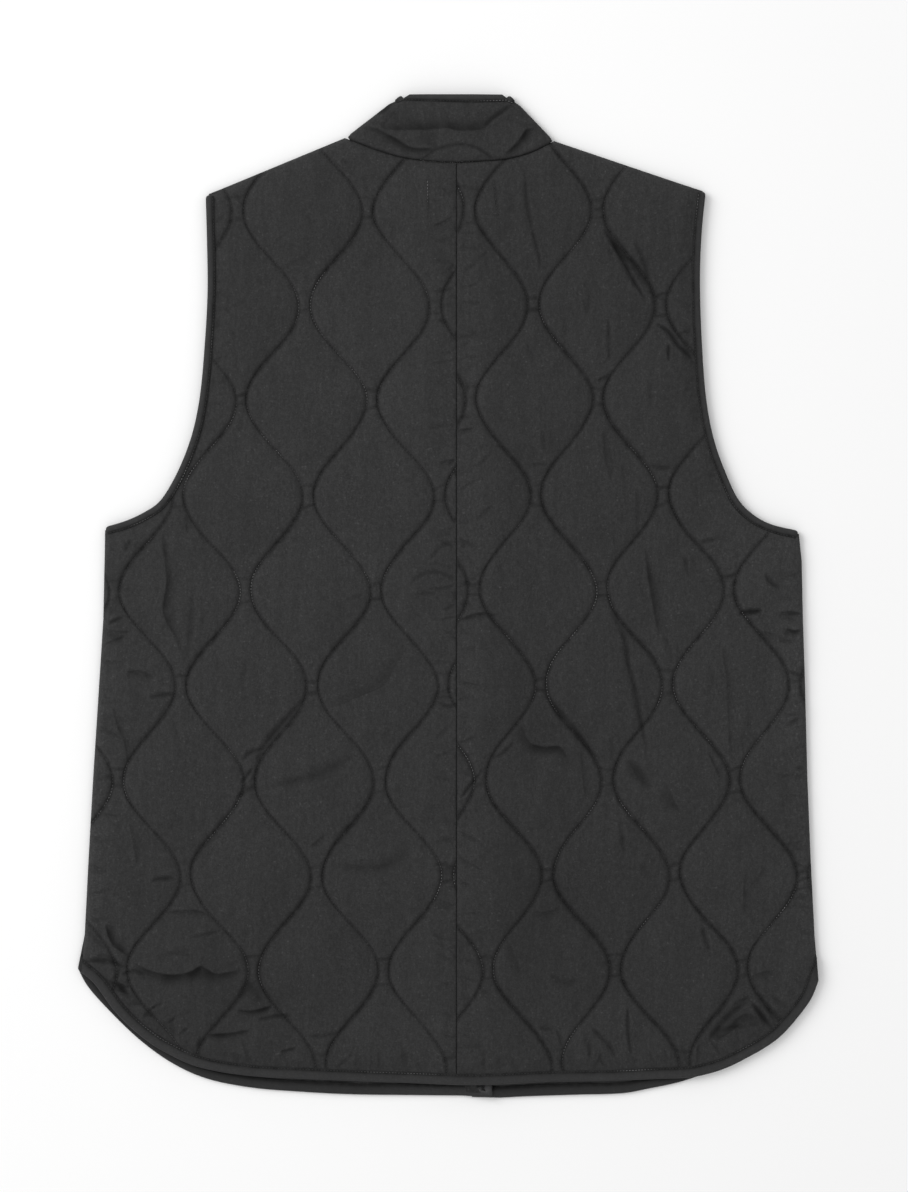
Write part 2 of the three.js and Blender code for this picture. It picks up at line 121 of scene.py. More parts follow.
def smoothLine(points, count):
    p = np.array(points, float)
    p = np.vstack([2 * p[0] - p[1], p, 2 * p[-1] - p[-2]])
    s = np.linspace(0, 1, 40, endpoint=False)[:, None]
    fine = []
    for a, b, c, d in zip(p, p[1:], p[2:], p[3:]):
        before, here, after = (math.sqrt(np.linalg.norm(q - r)) for q, r in ((b, a), (c, b), (d, c)))
        leave = here * ((b - a) / before - (c - a) / (before + here) + (c - b) / here)
        arrive = here * ((c - b) / here - (d - b) / (here + after) + (d - c) / after)
        fine.append((2 * s**3 - 3 * s**2 + 1) * b + (s**3 - 2 * s**2 + s) * leave
                    + (3 * s**2 - 2 * s**3) * c + (s**3 - s**2) * arrive)
    return evenly(np.vstack([*fine, p[-2:-1]]), count)


def edgeLine(half, name, count):
    return smoothLine([(half["sign"] * out, up) for out, up in half[name]], count)


def unit(v):
    return v / np.maximum(np.linalg.norm(v, axis=-1, keepdims=True), 1e-9)


def offsetLine(line, distance):  # to its left, with mitred corners
    steps = unit(np.diff(line, axis=0))
    arriving = np.vstack([steps[:1], steps])
    leaving = np.vstack([steps, steps[-1:]])
    middle = unit(arriving + leaving)
    reach = distance / np.sum(middle * arriving, axis=1, keepdims=True)
    return line + np.stack([-middle[:, 1], middle[:, 0]], 1) * reach


def meet(a, b, c, d):  # where the line ab crosses the line cd
    ab, cd, ac = b - a, d - c, c - a
    part = (ac[0] * cd[1] - ac[1] * cd[0]) / (ab[0] * cd[1] - ab[1] * cd[0])
    return a + ab * part


def insetLine(line, distance, startOn=None, endOn=None):
    inset = offsetLine(line, distance)
    if startOn is not None:
        inset[0] = meet(inset[0], inset[1], line[0], startOn)
    if endOn is not None:
        inset[-1] = meet(inset[-2], inset[-1], line[-1], endOn)
    return inset


def densified(line, step):
    parts = [evenly([a, b], max(1, round(np.linalg.norm(b - a) / step)))[:-1]
             for a, b in zip(line, line[1:])]
    return np.vstack([*parts, line[-1:]])


def distanceTo(line, x, up):  # to a line and how far along it, in mm, and 1 to its left or -1
    nearest = np.full(len(x), 1e9)
    along, leftward = np.zeros(len(x)), np.ones(len(x))
    passed = 0.0
    for a, b in zip(line, line[1:]):
        ab = b - a
        length = max(np.linalg.norm(ab), 1e-9)
        part = np.clip(((x - a[0]) * ab[0] + (up - a[1]) * ab[1]) / length**2, 0, 1)
        away = np.hypot(x - a[0] - part * ab[0], up - a[1] - part * ab[1])
        closer = away < nearest
        nearest = np.where(closer, away, nearest)
        along = np.where(closer, passed + part * length, along)
        turned = ab[0] * (up - a[1]) - ab[1] * (x - a[0])
        leftward = np.where(closer, np.where(turned < 0, -1, 1), leftward)
        passed += length
    return nearest, along, leftward


def isInside(outline, x, up):
    odd = np.zeros(len(x), bool)
    for a, b in zip(outline, np.roll(outline, -1, axis=0)):
        crosses = (a[1] > up) != (b[1] > up)
        odd ^= crosses & (x < a[0] + (up - a[1]) * (b[0] - a[0]) / (b[1] - a[1] + 1e-12))
    return odd


def nearestOf(lines, x, up):  # distance to the nearer of two lines
    return np.minimum(*(distanceTo(line, x, up)[0] for line in lines))


def within(points, ring, gap):  # the points inside a ring that stay clear of it
    points = points[isInside(ring, points[:, 0], points[:, 1])]
    return points[distanceTo(closedLine(ring), points[:, 0], points[:, 1])[0] > gap]


def areaOf(outline):
    x, up = outline.T
    return abs(np.dot(x, np.roll(up, -1)) - np.dot(up, np.roll(x, -1))) / 2


def smoothStep(value, low, high):
    t = np.clip((value - low) / (high - low), 0, 1)
    return t * t * (3 - 2 * t)


# Unevenness, always from a fixed seed

def ripple(seed, along):
    values = np.random.default_rng(seed).uniform(-1, 1, 1024)
    cell = np.floor(along).astype(int)
    t = along - cell
    t = t * t * (3 - 2 * t)
    return values[cell % 1024] * (1 - t) + values[(cell + 1) % 1024] * t


def patches(seed, x, up, size, stretch=1.0):
    values = np.random.default_rng(seed).uniform(-1, 1, (128, 128))
    u, v = x / size, up / (size * stretch)
    i, j = np.floor(u).astype(int), np.floor(v).astype(int)
    s, t = u - i, v - j
    s, t = s * s * (3 - 2 * s), t * t * (3 - 2 * t)
    i, j = i % 128, j % 128
    k, m = (i + 1) % 128, (j + 1) % 128
    return ((values[i, j] * (1 - s) + values[k, j] * s) * (1 - t)
            + (values[i, m] * (1 - s) + values[k, m] * s) * t)


# The lap of the fronts, and the ridge it makes in the back

def centreFront(up):
    lean = (plan["centreFrontAtCollar"] - plan["centreFrontAtHem"]) / plan["collarTopInFront"]
    return plan["centreFrontAtHem"] + lean * up


ridge = {"left": (-66, -14), "right": (12, 66)}  # where it rises and falls, from the centre front


def backRise(x, up):
    off = x - centreFront(up)
    return plan["lapLift"] * smoothStep(off, *ridge["left"]) * (1 - smoothStep(off, *ridge["right"]))


def leftFrontRise(x, up):
    return plan["lapLift"] * np.clip((x - centreFront(up) + plan["frontLap"]) / plan["lapSlope"], 0, 1)


def noRise(x, up):
    return np.zeros(np.shape(x))


for half in halves.values():
    sign = half["sign"]
    half["neckLine"] = edgeLine(half, "neck", 96)
    half["backArmhole"] = edgeLine(half, "armhole", 130)
    share = np.sin(np.pi * np.linspace(0, 1, 131))[:, None]
    inward = offsetLine(half["backArmhole"], 1)
    half["frontArmhole"] = half["backArmhole"] + (inward - half["backArmhole"]) * share * (
        -sign * plan["frontArmholeDepth"])
    half["sideLine"] = np.array([(sign * out, up) for out, up in half["side"]], float)
    half["backHemLine"] = edgeLine(half, "backHem", 150)
    hemLine = edgeLine(half, "frontHem", 150)
    lapEdge = [(centreFront(up) - sign * plan["frontLap"] / 2, up)
               for up in (0.5, plan["neckInFront"] / 2, plan["collarTopInFront"])]
    half["frontEdge"] = np.vstack([hemLine, densified(np.array(lapEdge), 6)])
    half["collarBaseLine"] = edgeLine(half, "collarBase", 40)
    half["collarTopLine"] = edgeLine(half, "collarTop", 40)
    half["tip"] = half["collarTopLine"][0]


# Quilting: pairs of waves that close to a node and open to a belly

quilting = {
    "period": 148.3,
    "nodeGap": 8.6,
    "lines": range(-5, 5),
    "across": 34,  # columns of points between two waves
    "rowStep": 2.1,
    "stitched": 1.7,  # thickness at the stitches
    "puffed": 4.6,  # thickness at the middle of the widest belly
    "wander": 0.7,
    "unevenPull": 0.28,
    "seed": 11,
}


def waveX(half, index, up):
    q = half["quilting"]
    drop = q["up"] - up
    even = 2 * math.floor(index / 2)
    middle = q["x"] + q["lean"] * drop + q["bend"] * drop**2 + even * q["pitch"]
    share = (1 - np.cos(2 * np.pi * drop / quilting["period"])) / 2
    opening = quilting["nodeGap"] / 2 + (q["pitch"] - quilting["nodeGap"]) * share
    wander = quilting["wander"] * ripple(500 + index * int(half["sign"]), np.asarray(up) / 23)
    return middle + (-opening if index == even else opening) + wander


def quiltField(half, x, up):
    # For each point: share of the way between two waves, their distance in mm, the distance to
    # the waves on both sides, the number of the wave on the left, and the slope of the nearest
    lines = np.stack([waveX(half, i, up) for i in quilting["lines"]])
    slopes = np.stack([waveX(half, i, up + 0.5) - waveX(half, i, up - 0.5) for i in quilting["lines"]])
    left = np.clip((lines <= x).sum(0) - 1, 0, len(lines) - 2)
    pick = np.arange(len(x))
    low, high = lines[left, pick], lines[left + 1, pick]
    width = high - low
    share = np.clip((x - low) / width, 0, 1)
    toLeft = (x - low) / np.hypot(1, slopes[left, pick])
    toRight = (high - x) / np.hypot(1, slopes[left + 1, pick])
    slope = np.where(toLeft < toRight, slopes[left, pick], slopes[left + 1, pick])
    return share, width, toLeft, toRight, left, slope


def toStitches(half, x, up):
    return np.minimum(*quiltField(half, x, up)[2:4])


# Where the cloth is drawn in harder, with wider and darker painted shade along its stitch lines: x, up, reach, how
# much
drawnIn = [
    (134, 656, 30, 0.7), (131, 511, 25, 0.6), (51, 494, 20, 0.4), (87, 444, 27, 0.3), (85, 292, 37, 0.6),
    (92, 147, 43, 0.7), (104, 85, 27, 0.5), (204, 60, 30, 0.8), (202, 210, 27, 0.4), (-161, 295, 47, 0.3),
    (-188, 194, 39, 0.35), (-91, 210, 35, 0.6), (207, 57, 15, 0.6), (-157, 97, 23, 0.9), (-122, 151, 28, 0.35),
    (-181, 373, 35, 0.2), (-103, 662, 31, 0.3), (-130, 444, 30, 0.4), (-87, 54, 31, 0.3),
]


def pulled(half, x, up):
    # How hard the stitches draw the cloth in, 1 being well in: more where the lines lean one way. It sets how wide
    # and dark the painted shade along the stitch lines is.
    _, _, toLeft, toRight, left, slope = quiltField(half, x, up)
    plain, withLean = half["pull"]
    uneven = ripple(quilting["seed"], up / 31 + 37.0 * (left + (toRight < toLeft)))
    more = sum(far * np.exp(-((x - u) ** 2 + (up - v) ** 2) / reach**2) for u, v, reach, far in drawnIn)
    return np.clip(plain + withLean * slope + quilting["unevenPull"] * uneven + more, 0, 1.8)


noLine = 99


def quiltPoints(half, across, rowStep):
    rows = np.arange(0, plan["top"], rowStep)
    s = np.linspace(0, 1, across, endpoint=False)
    s = s - 0.4 * np.sin(2 * np.pi * s) / (2 * np.pi)  # closer together at the stitches
    found = []
    lines = list(quilting["lines"])
    for i, j in zip(lines, lines[1:]):
        low, high = waveX(half, i, rows), waveX(half, j, rows)
        x = low + (high - low) * s[:, None]
        line = np.where(s[:, None] == 0, i, noLine) + np.zeros_like(x)
        found.append(np.stack([x, np.broadcast_to(rows, x.shape), line], 2).reshape(-1, 3))
    return np.vstack(found)


# Creases pressed and pulled into the cloth, with painted shade in them that grows with their depth: depth, width,
# side and the points they run through.
# Side 0 is a trough. Side 1 falls away on the left of the line and -1 on its right, with a sharp edge.
creases = [
    (1.5, 1.9, 0, [(-157.3, 260), (-151, 273.5), (-143, 284.5), (-132, 297), (-119.5, 311)]),
    (1.2, 1.3, 0, [(-168, 246), (-163, 252), (-158.6, 259)]),
    (1.2, 1.4, 0, [(-172, 234), (-165, 239), (-158.6, 241)]),
    (1.2, 1.5, 0, [(215, 73), (223, 76.5), (230, 79.5)]),
    (1.6, 2.2, 0, [(195.5, 45), (204.4, 54.5), (209.8, 61.5), (217, 68.5), (225.5, 74.3), (231, 76)]),
    (0.9, 3.0, -1, [(214, 60), (226, 66), (240, 61)]), (0.9, 1.6, 0, [(205, 52), (217, 56), (228, 55)]),
    (1.4, 1.6, 0, [(-266.5, 92.6), (-260, 84), (-254.8, 77)]),
    (1.2, 1.3, 0, [(-262, 96), (-251, 99), (-243, 96)]), (1.0, 1.3, 0, [(-281, 112), (-272, 111), (-262, 104)]),
    (1.0, 1.2, 0, [(-238, 70), (-229, 74)]), (0.9, 1.2, 0, [(-226, 58), (-219, 63)]),
    (0.9, 1.2, 0, [(-216, 50), (-209, 55)]),
    (2.3, 3.6, -1, [(-253.2, 106.6), (-239.1, 99.6), (-221, 96.6), (-205.9, 99.6), (-200, 103.6), (-189, 97.6),
                    (-166.9, 100.6)]),
    (0.7, 1.6, 0, [(-233.8, 110.4), (-214.1, 113.4), (-203.5, 109.5)]),
    (2.5, 2.4, 1, [(-274.7, 135.7), (-268.6, 120.5), (-255.5, 110.4)]),
    (0.82, 1.4, 0, [(-288.9, 132.2), (-280.8, 123.1), (-270.7, 115.1)]),
    (2.3, 1.8, 0, [(-293, 106.7), (-270.4, 106.7), (-258.7, 101.5)]),
    (1.9, 2.0, -1, [(-287, 101), (-270.4, 91.5), (-254.8, 87.5)]),
    (1.6, 1.4, 1, [(-267.1, 84.6), (-254.1, 81.6)]),
    (1.4, 1.4, 1, [(-256, 73.4), (-244, 73.4)]),
    (1.2, 1.4, 1, [(-245.1, 63.4), (-233.1, 65.4)]),
    (1.1, 1.3, 1, [(-230.7, 56.2), (-221.7, 54.2)]),
    (1.1, 2, -1, [(-227, 145.8), (-202.9, 146.8), (-188.7, 140.7)]),
    (0.89, 1.4, 0, [(-207.9, 125.6), (-195.9, 127.6), (-183.9, 130.6)]),
    (0.34, 1.2, 0, [(-195, 118), (-180, 122)]),
    (1.89, 1.8, -1, [(-171, 69.4), (-161, 68.4), (-144.1, 72.4)]),
    (1.49, 1.4, 0, [(-156, 61), (-140, 64), (-129, 64)]),
    (2.03, 2, -1, [(-195, 50), (-177, 51), (-161, 54)]),
    (1.34, 1.6, -1, [(-137.8, 37.2), (-124.8, 40.2)]),
    (1.08, 1.4, 0, [(-115, 48.6), (-104.1, 48.6), (-93.3, 50.6)]),
    (1.2, 3.7, 0, [(-169, 77), (-160, 86), (-152, 75)]),
    (0.72, 3, 1, [(-256.4, 216.9), (-252.4, 199.9), (-249.4, 181.9)]),
    (1.4, 1.5, 0, [(-238.7, 169.4), (-228.8, 171.4), (-218, 171.4)]),
    (0.9, 4.0, 0, [(-93.1, 181.6), (-79, 179.6), (-61.9, 179.6), (-48.8, 184.6), (-35.8, 191.6)]),
    (1.3, 3, 1, [(-231, 444), (-228, 423), (-226, 403), (-229, 380), (-219, 358), (-213, 341)]),
    (0.74, 2.4, 1, [(-213.2, 455.2), (-210.2, 440.2)]),
    (0.9, 2.2, 0, [(-205, 396), (-207, 368), (-209.5, 342)]),
    (1.2, 1.6, 0, [(-253.4, 436.7), (-258.4, 426.7)]),
    (1.4, 1.2, 0, [(-271.4, 370.5), (-259.4, 375.5)]),
    (0.56, 1.5, 0, [(-274, 364), (-264, 358), (-256, 352)]),
    (1.25, 3, -1, [(-259, 333), (-247, 334), (-236, 329)]),
    (1.3, 1.6, 0, [(-240.1, 312.4), (-230.1, 314.4), (-218, 315.4)]),
    (0.85, 2.2, 1, [(-269, 307), (-266, 294), (-259, 276), (-257, 261)]),
    (0.47, 2.1, 0, [(-220, 302), (-218, 278), (-212, 263)]),
    (1.25, 3.2, 1, [(-106, 305), (-93, 307), (-81, 312), (-69, 317), (-57, 323), (-51, 334), (-44, 345), (-38, 355)]),
    (1.0, 3.6, 0, [(-149, 243), (-128, 247), (-112, 251), (-98, 257), (-87, 263), (-77, 268)]),
    (1.2, 1.4, 0, [(-167, 264), (-160, 270), (-150, 273)]),
    (0.78, 1.7, -1, [(-114.3, 196.3), (-110.3, 200.3), (-103.3, 206.3)]),
    (0.4, 1.5, 0, [(-60, 279), (-50, 289)]),
    (0.7, 1.8, 0, [(-21.3, 419.3), (-11.2, 430.3), (-1.1, 433.4), (7, 433.4)]),
    (1.0, 1.8, 0, [(-35.9, 399.9), (-28.3, 407.6), (-15.2, 410.4), (0.4, 404.5)]),
    (0.84, 1.6, 0, [(-34, 393.2), (-15, 394.2)]),
    (0.68, 1.7, -1, [(-18, 311), (-7, 308), (2, 309)]),
    (0.57, 1.7, -1, [(-19, 201), (-7, 203), (1, 206)]),
    (0.84, 1.6, 1, [(-14.9, 175.4), (0.1, 176.4)]),
    (0.52, 1.4, 0, [(-18, 149), (0, 149)]),
    (0.41, 1.9, 0, [(-167, 319), (-164, 336), (-157, 346)]),
    (0.46, 2.1, 0, [(-190, 311), (-185, 333), (-188, 350)]),
    (0.36, 1.6, 0, [(-202.8, 450.8), (-197.8, 434.8)]),
    (0.34, 1.4, 0, [(-87, 387), (-71, 394)]),
    (0.28, 1.9, 0, [(-135, 650), (-122, 653), (-112, 662)]),
    (0.28, 1.6, 0, [(-175, 617), (-161, 623)]),
    (0.68, 1.2, 0, [(-190, 626), (-184, 629)]),
    (0.86, 1.4, 1, [(-189, 601), (-183, 604)]),
    (0.28, 1.6, 0, [(-82, 714), (-66, 718), (-54, 717)]),
    (0.7, 1.5, 0, [(-91, 732), (-82, 729)]),
    (0.58, 1.3, 0, [(5.1, 642.8), (15.1, 651.8), (26.1, 661.8)]),
    (0.67, 1.4, -1, [(-7.2, 646), (-2.2, 652)]),
    (1, 1.6, 0, [(53.8, 725.9), (54.8, 702.9), (59.8, 675.8), (64.8, 655.8), (65.8, 642.9)]),
    (0.63, 1.6, 1, [(97.8, 624.7), (100.8, 611.7)]),
    (0.37, 1.4, 0, [(100, 639), (104, 623), (102, 609)]),
    (1.7, 1.9, -1, [(113.4, 685.8), (121.3, 671.9), (132.3, 657), (144.3, 643), (153.3, 628.9)]),
    (1.8, 1.4, 0, [(115, 678.6), (128, 657.6), (139, 636.6), (149, 621.7)]),
    (1.2, 1.9, 0, [(139, 670), (146, 654), (152, 637)]),
    (0.36, 1.7, 1, [(116.4, 669.7), (119.4, 652.7)]),
    (0.79, 1.6, 1, [(149.1, 629.7), (156.4, 624.5), (163.8, 623.4)]),
    (2.5, 1.6, 0, [(155.2, 604.6), (164.9, 598.8), (172.8, 588), (182.7, 578.1), (186.5, 566.5)]),
    (1.4, 1.4, 0, [(165.6, 589), (165.6, 575)]),
    (0.97, 1.5, 0, [(118.8, 609), (119.8, 575)]),
    (1.4, 1.7, -1, [(109.5, 560.9), (119.5, 565.9)]),
    (0.86, 1.4, -1, [(106.1, 694.2), (114.1, 695.2)]),
    (1, 1.6, -1, [(1.1, 521.6), (14.1, 523.6)]),
    (0.69, 1.2, 0, [(10, 493), (18, 494), (23, 499), (28, 504)]),
    (0.82, 1.2, 0, [(-7, 493.2), (-1, 498.2)]),
    (0.6, 1.2, 0, [(8.6, 559.2), (9.6, 550.2)]),
    (0.99, 1.2, 0, [(58, 494.4), (71, 494.4)]),
    (0.72, 2.6, 1, [(114.4, 523.9), (115.4, 499.8), (120.5, 480.6)]),
    (0.34, 1.9, 0, [(130, 496), (133, 472)]),
    (1.1, 1.8, 0, [(150, 494), (161, 492), (173, 492)]),
    (0.41, 1.6, -1, [(173.4, 654), (181.3, 659), (186.3, 662.9)]),
    (0.57, 1.2, 0, [(176, 617), (184, 620)]),
    (1, 1.2, 0, [(176.6, 599.3), (184.6, 595.3)]),
    (0.28, 1.9, 0, [(81, 623), (85, 600), (83, 582)]),
    (0.39, 1.9, 0, [(151, 561), (152, 537)]),
    (0.34, 1.6, 0, [(55, 592), (60, 572)]),
    (0.61, 1.5, 0, [(67.2, 522.1), (69.2, 504.1)]),
    (1.4, 1.6, -1, [(1.3, 373.3), (10.2, 377.2), (21, 379.2), (31.9, 377.2)]),
    (0.41, 1.9, 0, [(7, 370), (20, 358), (31, 341)]),
    (0.56, 1.7, -1, [(14.3, 450.7), (21.3, 458.7), (29.2, 464.7)]),
    (1.8, 3.0, -1, [(49.4, 294.2), (56.3, 278.3), (67.1, 274.4), (80.1, 274.4), (85.4, 267.2), (87.4, 258.1)]),
    (1, 1.4, 0, [(28, 265), (37, 270), (45, 278)]),
    (1.4, 1.2, 0, [(2.7, 233.2), (10.7, 244.2), (20.7, 256.3)]),
    (1.3, 1.7, 0, [(67.2, 318), (78.2, 305), (92.3, 289), (100.3, 276.9), (107.3, 266.9)]),
    (0.58, 2.2, 1, [(96.2, 275.9), (98.2, 249.9), (101.2, 230.9)]),
    (1.5, 1.9, 0, [(118.7, 380), (125.6, 371.2), (131.5, 358.6), (134.4, 338.7), (139.4, 319.6),
                   (143.4, 298.7), (149.4, 267.7)]),
    (1.5, 2.4, 1, [(146.4, 429.8), (149.4, 406.8), (153.4, 383.7), (157.4, 361.7)]),
    (0.57, 1.5, 0, [(162.1, 363.4), (166.2, 350.3), (169.2, 336.3)]),
    (0.9, 1.6, 0, [(178.6, 423.2), (179.6, 414.4), (182.5, 406.6)]),
    (0.52, 1.9, 0, [(141, 477), (142, 461), (141, 443)]),
    (1.6, 3.2, 0, [(134.7, 264.1), (141.7, 254.1), (150.7, 241.1)]),
    (1.5, 2.8, -1, [(164.4, 244.1), (168.4, 234.2), (173.4, 223.2)]),
    (0.93, 1.5, 0, [(189, 433), (197, 435), (206, 437)]),
    (0.34, 1.4, 0, [(215, 423), (213, 412)]),
    (0.82, 1.6, 0, [(202, 403.4), (209.5, 403.5), (216.9, 408.7)]),
    (1.6, 1.6, 0, [(240.3, 409.9), (245.1, 403.1), (253, 397.3)]),
    (2.3, 1.8, 0, [(220, 378.4), (229, 379.4), (239, 380.4)]),
    (1.7, 2, -1, [(250.9, 379.2), (260.1, 380.2), (269.3, 378.2)]),
    (2.4, 2, -1, [(257.4, 367.1), (263.1, 365.2), (268.8, 366.2)]),
    (0.82, 2.4, -1, [(234.2, 364.6), (243.4, 363.6), (251.6, 360.5)]),
    (1.7, 1.7, 1, [(251, 356.2), (261, 356.2)]),
    (1.4, 1.4, 0, [(258.6, 333.5), (265.4, 330.6), (271, 330.6)]),
    (1, 1.4, -1, [(260, 295), (267, 297)]),
    (1.2, 1.2, 0, [(265, 257.4), (272, 257.4)]),
    (0.72, 2.2, 1, [(206.4, 353.8), (210.4, 326.8), (211.4, 301.9), (213.4, 262.9)]),
    (0.57, 2.1, 0, [(198, 338), (202, 319)]),
    (0.91, 1.4, 1, [(195.4, 270.7), (200.5, 260.7), (205.5, 248.6)]),
    (0.87, 1.4, 0, [(127.8, 219.1), (130.8, 192.1)]),
    (0.52, 1.9, 0, [(121, 286), (122, 263)]),
    (0.35, 1.9, 0, [(143, 407), (148, 387)]),
    (0.34, 1.6, 0, [(230, 311), (229, 288)]),
    (0.89, 3, -1, [(230.1, 96.6), (239.1, 98.6), (248.1, 100.6)]),
    (1.1, 1.2, 0, [(265.3, 175.4), (275.3, 177.4)]),
    (0.62, 1.2, 0, [(266.3, 158.6), (276.3, 156.6)]),
    (0.4, 1.4, 0, [(255, 197), (265, 199), (272, 201)]),
    (1, 1.4, 0, [(267, 132), (277, 127)]),
    (0.58, 1.8, 1, [(224.8, 182.1), (223.8, 164), (223.8, 141)]),
    (0.51, 1.7, -1, [(228, 164.7), (234, 172.7), (241, 182.7)]),
    (1.1, 1.5, 0, [(192, 135), (194, 125), (198, 115)]),
    (0.98, 2.2, -1, [(38.6, 124.2), (44.6, 113.3), (47.4, 105.6), (49.4, 91.8)]),
    (0.47, 1.7, -1, [(42.4, 138.3), (38.4, 118.3)]),
    (1.4, 1.4, 0, [(104.9, 55.9), (111.9, 48.9), (118.7, 42), (124.6, 32.2)]),
    (0.82, 1.6, 0, [(99, 52), (104, 41), (104, 29)]),
    (1.2, 1.4, 0, [(133.4, 71.9), (134.4, 49.9), (136.4, 34.8)]),
    (0.91, 1.6, 0, [(63.9, 55.2), (75.9, 53.2)]),
    (0.81, 1.6, 1, [(77.4, 54.1), (81.4, 40.1)]),
    (0.8, 2.9, -1, [(59, 146), (71, 146), (81, 150)]),
    (1.6, 2.6, 1, [(198.7, 46.2), (206.5, 48.1), (215.3, 54), (222.3, 59)]),
    (2.1, 1.9, 0, [(230.3, 75.2), (239.3, 63.2), (247.3, 53.2)]),
    (1, 1.6, 1, [(228.5, 55.5), (237.5, 58.5)]),
    (0.98, 1.4, 1, [(18.5, 81.5), (24.5, 83.5)]),
    (0.68, 1.5, 0, [(111.9, 229.6), (117.9, 227.6)]),
    (0.95, 2.8, 0, [(73, 97), (85, 90), (96, 93)]),
    (0.34, 2.5, 0, [(143, 186), (152, 171)]),
    (0.34, 1.6, 0, [(152, 85), (155, 69)]),
    (0.52, 1.5, 0, [(121, 108), (112, 102)]),
]

tucks = {
    "depth": 0.95, "width": 1.25, "reach": 1.2, "each": 2, "apart": 7, "astray": 4, "tilt": (-1.0, 3.0), "seed": 21,
}


def creaseLines():
    # The creases above, then the short tucks that lie across each node
    found = [(depth, width, side, smoothLine(points, 24) if len(points) > 2 else evenly(points, 12))
             for depth, width, side, points in creases]
    chance = np.random.default_rng(tucks["seed"])
    for half in halves.values():
        q = half["quilting"]
        for i in list(quilting["lines"])[:-1]:
            for turn in range(-1, 6):
                node = q["up"] - quilting["period"] * (turn + (i % 2) / 2)
                for k in range(tucks["each"]):
                    up = node + chance.uniform(-1, 1) * tucks["astray"] + (tucks["apart"] if k else -tucks["apart"])
                    tilt = chance.uniform(*tucks["tilt"])
                    low = waveX(half, i, up) - tucks["reach"]
                    high = waveX(half, i + 1, up) + tucks["reach"]
                    depth = tucks["depth"] * chance.uniform(0.35, 1.15)
                    if half["sign"] * low > 6 and 30 < up < 720:
                        line = [(low, up - tilt), ((low + high) / 2, up + chance.uniform(-1, 1)), (high, up + tilt)]
                        width = tucks["width"] * chance.uniform(0.8, 1.2)
                        found.append((depth, width, 0, smoothLine(line, 8)))
    return found


edgePuckers = {
    # spacing, shortest, longest, deepest, lean
    "centre": (15, 8, 24, 0.85, 0.35), "side": (10, 8, 24, 1.0, 0.3), "armhole": (13, 6, 15, 0.7, 0.5),
    "hem": (11, 6, 20, 0.85, 0.45),
}


def edgeLines():
    # Short puckers that start at a seam or a binding and run in from it
    found = []
    chance = np.random.default_rng(tucks["seed"] + 1)
    for half in halves.values():
        sign = half["sign"]
        centre = np.array([(0.0, 14.0), (0.0, 726.0)])
        for name, line, left, start in (("centre", centre, -sign, 1.4), ("side", half["sideLine"], -sign, 1.5),
                                        ("armhole", half["backArmhole"], -sign, 7.0),
                                        ("hem", half["backHemLine"], -sign, 9.5)):
            spacing, shortest, longest, deepest, lean = edgePuckers[name]
            total = lengthOf(line)
            dense = evenly(line, round(total))
            at = 8.0
            while at < total - 8:
                here = dense[int(at)]
                along = unit(dense[int(at) + 1] - here)
                inward = left * np.array([-along[1], along[0]])
                run = unit(inward + along * chance.normal(0, lean)) * chance.uniform(shortest, longest)
                bend = along * chance.uniform(-1.5, 1.5)
                first = here + inward * start
                depth = deepest * chance.uniform(0.3, 1.0)
                found.append((depth, chance.uniform(1.0, 1.7), int(chance.integers(-1, 2)),
                              smoothLine([first, first + run / 2 + bend, first + run], 10)))
                at += spacing * chance.uniform(0.4, 1.9)
    return found


# fullDepth is the depth at which a crease gets its full painted shade
creaseForm = {"rim": 0.5, "rimAt": 2.1, "lip": 0.35, "drop": 2.5, "rise": 3.2, "fullDepth": 1.3}


def creaseField(x, up, lines):
    # Height of the creases in mm, and the painted shade in their bottoms: 1 is deep
    height, shade = np.zeros(len(x)), np.zeros(len(x))
    for k, (depth, width, side, line) in enumerate(lines):
        low, high = line.min(0) - 6 * width, line.max(0) + 6 * width
        near = (x > low[0]) & (x < high[0]) & (up > low[1]) & (up < high[1])
        if not near.any():
            continue
        away, along, leftward = distanceTo(line, x[near], up[near])
        part = along / lengthOf(line)
        wide = width * (0.65 + 0.5 * np.sin(np.pi * part) + 0.15 * ripple(k + 300, along / 7))
        fade = np.clip(1 - (2 * part - 1) ** 4, 0, 1) * (0.8 + 0.2 * ripple(k, along / 6))
        if side == 0:
            trough = np.exp(-((away / wide) ** 2))
            shape = creaseForm["rim"] * np.exp(-(((away - creaseForm["rimAt"] * wide) / wide) ** 2)) - trough
            dark = trough
        else:
            off = away * side * leftward
            fallen, lip = np.maximum(off, 0), np.minimum(off, 0)
            sunk = (1 - np.exp(-fallen / wide)) * np.exp(-fallen / (creaseForm["rise"] * wide))
            shape = np.where(off > 0, creaseForm["lip"] - creaseForm["drop"] * sunk,
                             creaseForm["lip"] * np.exp(lip / wide))
            shape *= np.exp(-((away / (5 * wide)) ** 4))
            band = 0.72 * np.exp(-((fallen / (1.75 * wide)) ** 3)) + 0.28 * np.exp(-fallen / wide)
            dark = np.where(off > 0, band, np.exp(-((lip / 0.7) ** 2)))
        height[near] += depth * fade * shape
        shade[near] += np.clip(depth / creaseForm["fullDepth"], -1, 1.7) * fade * dark
    return height, np.clip(shade, -0.3, 1.5)


spotCell = 0.65


def creasePoints():
    # Points for the mesh, in rows along each crease, at most one to a cell
    found = []
    for *_, line in creaseSet:
        dense = evenly(line, max(4, round(lengthOf(line) / 1.5)))
        found += [offsetLine(dense, far) for far in (-3.2, -2.2, -1.4, -0.7, 0.0, 0.7, 1.4, 2.2, 3.2)]
    found = np.vstack(found)
    cells = np.round(found / spotCell).astype(int)
    _, first = np.unique(cells @ [1, 4096], return_index=True)
    return found[first]


creaseSet = [*creaseLines(), *edgeLines()]
creaseSpots = creasePoints()


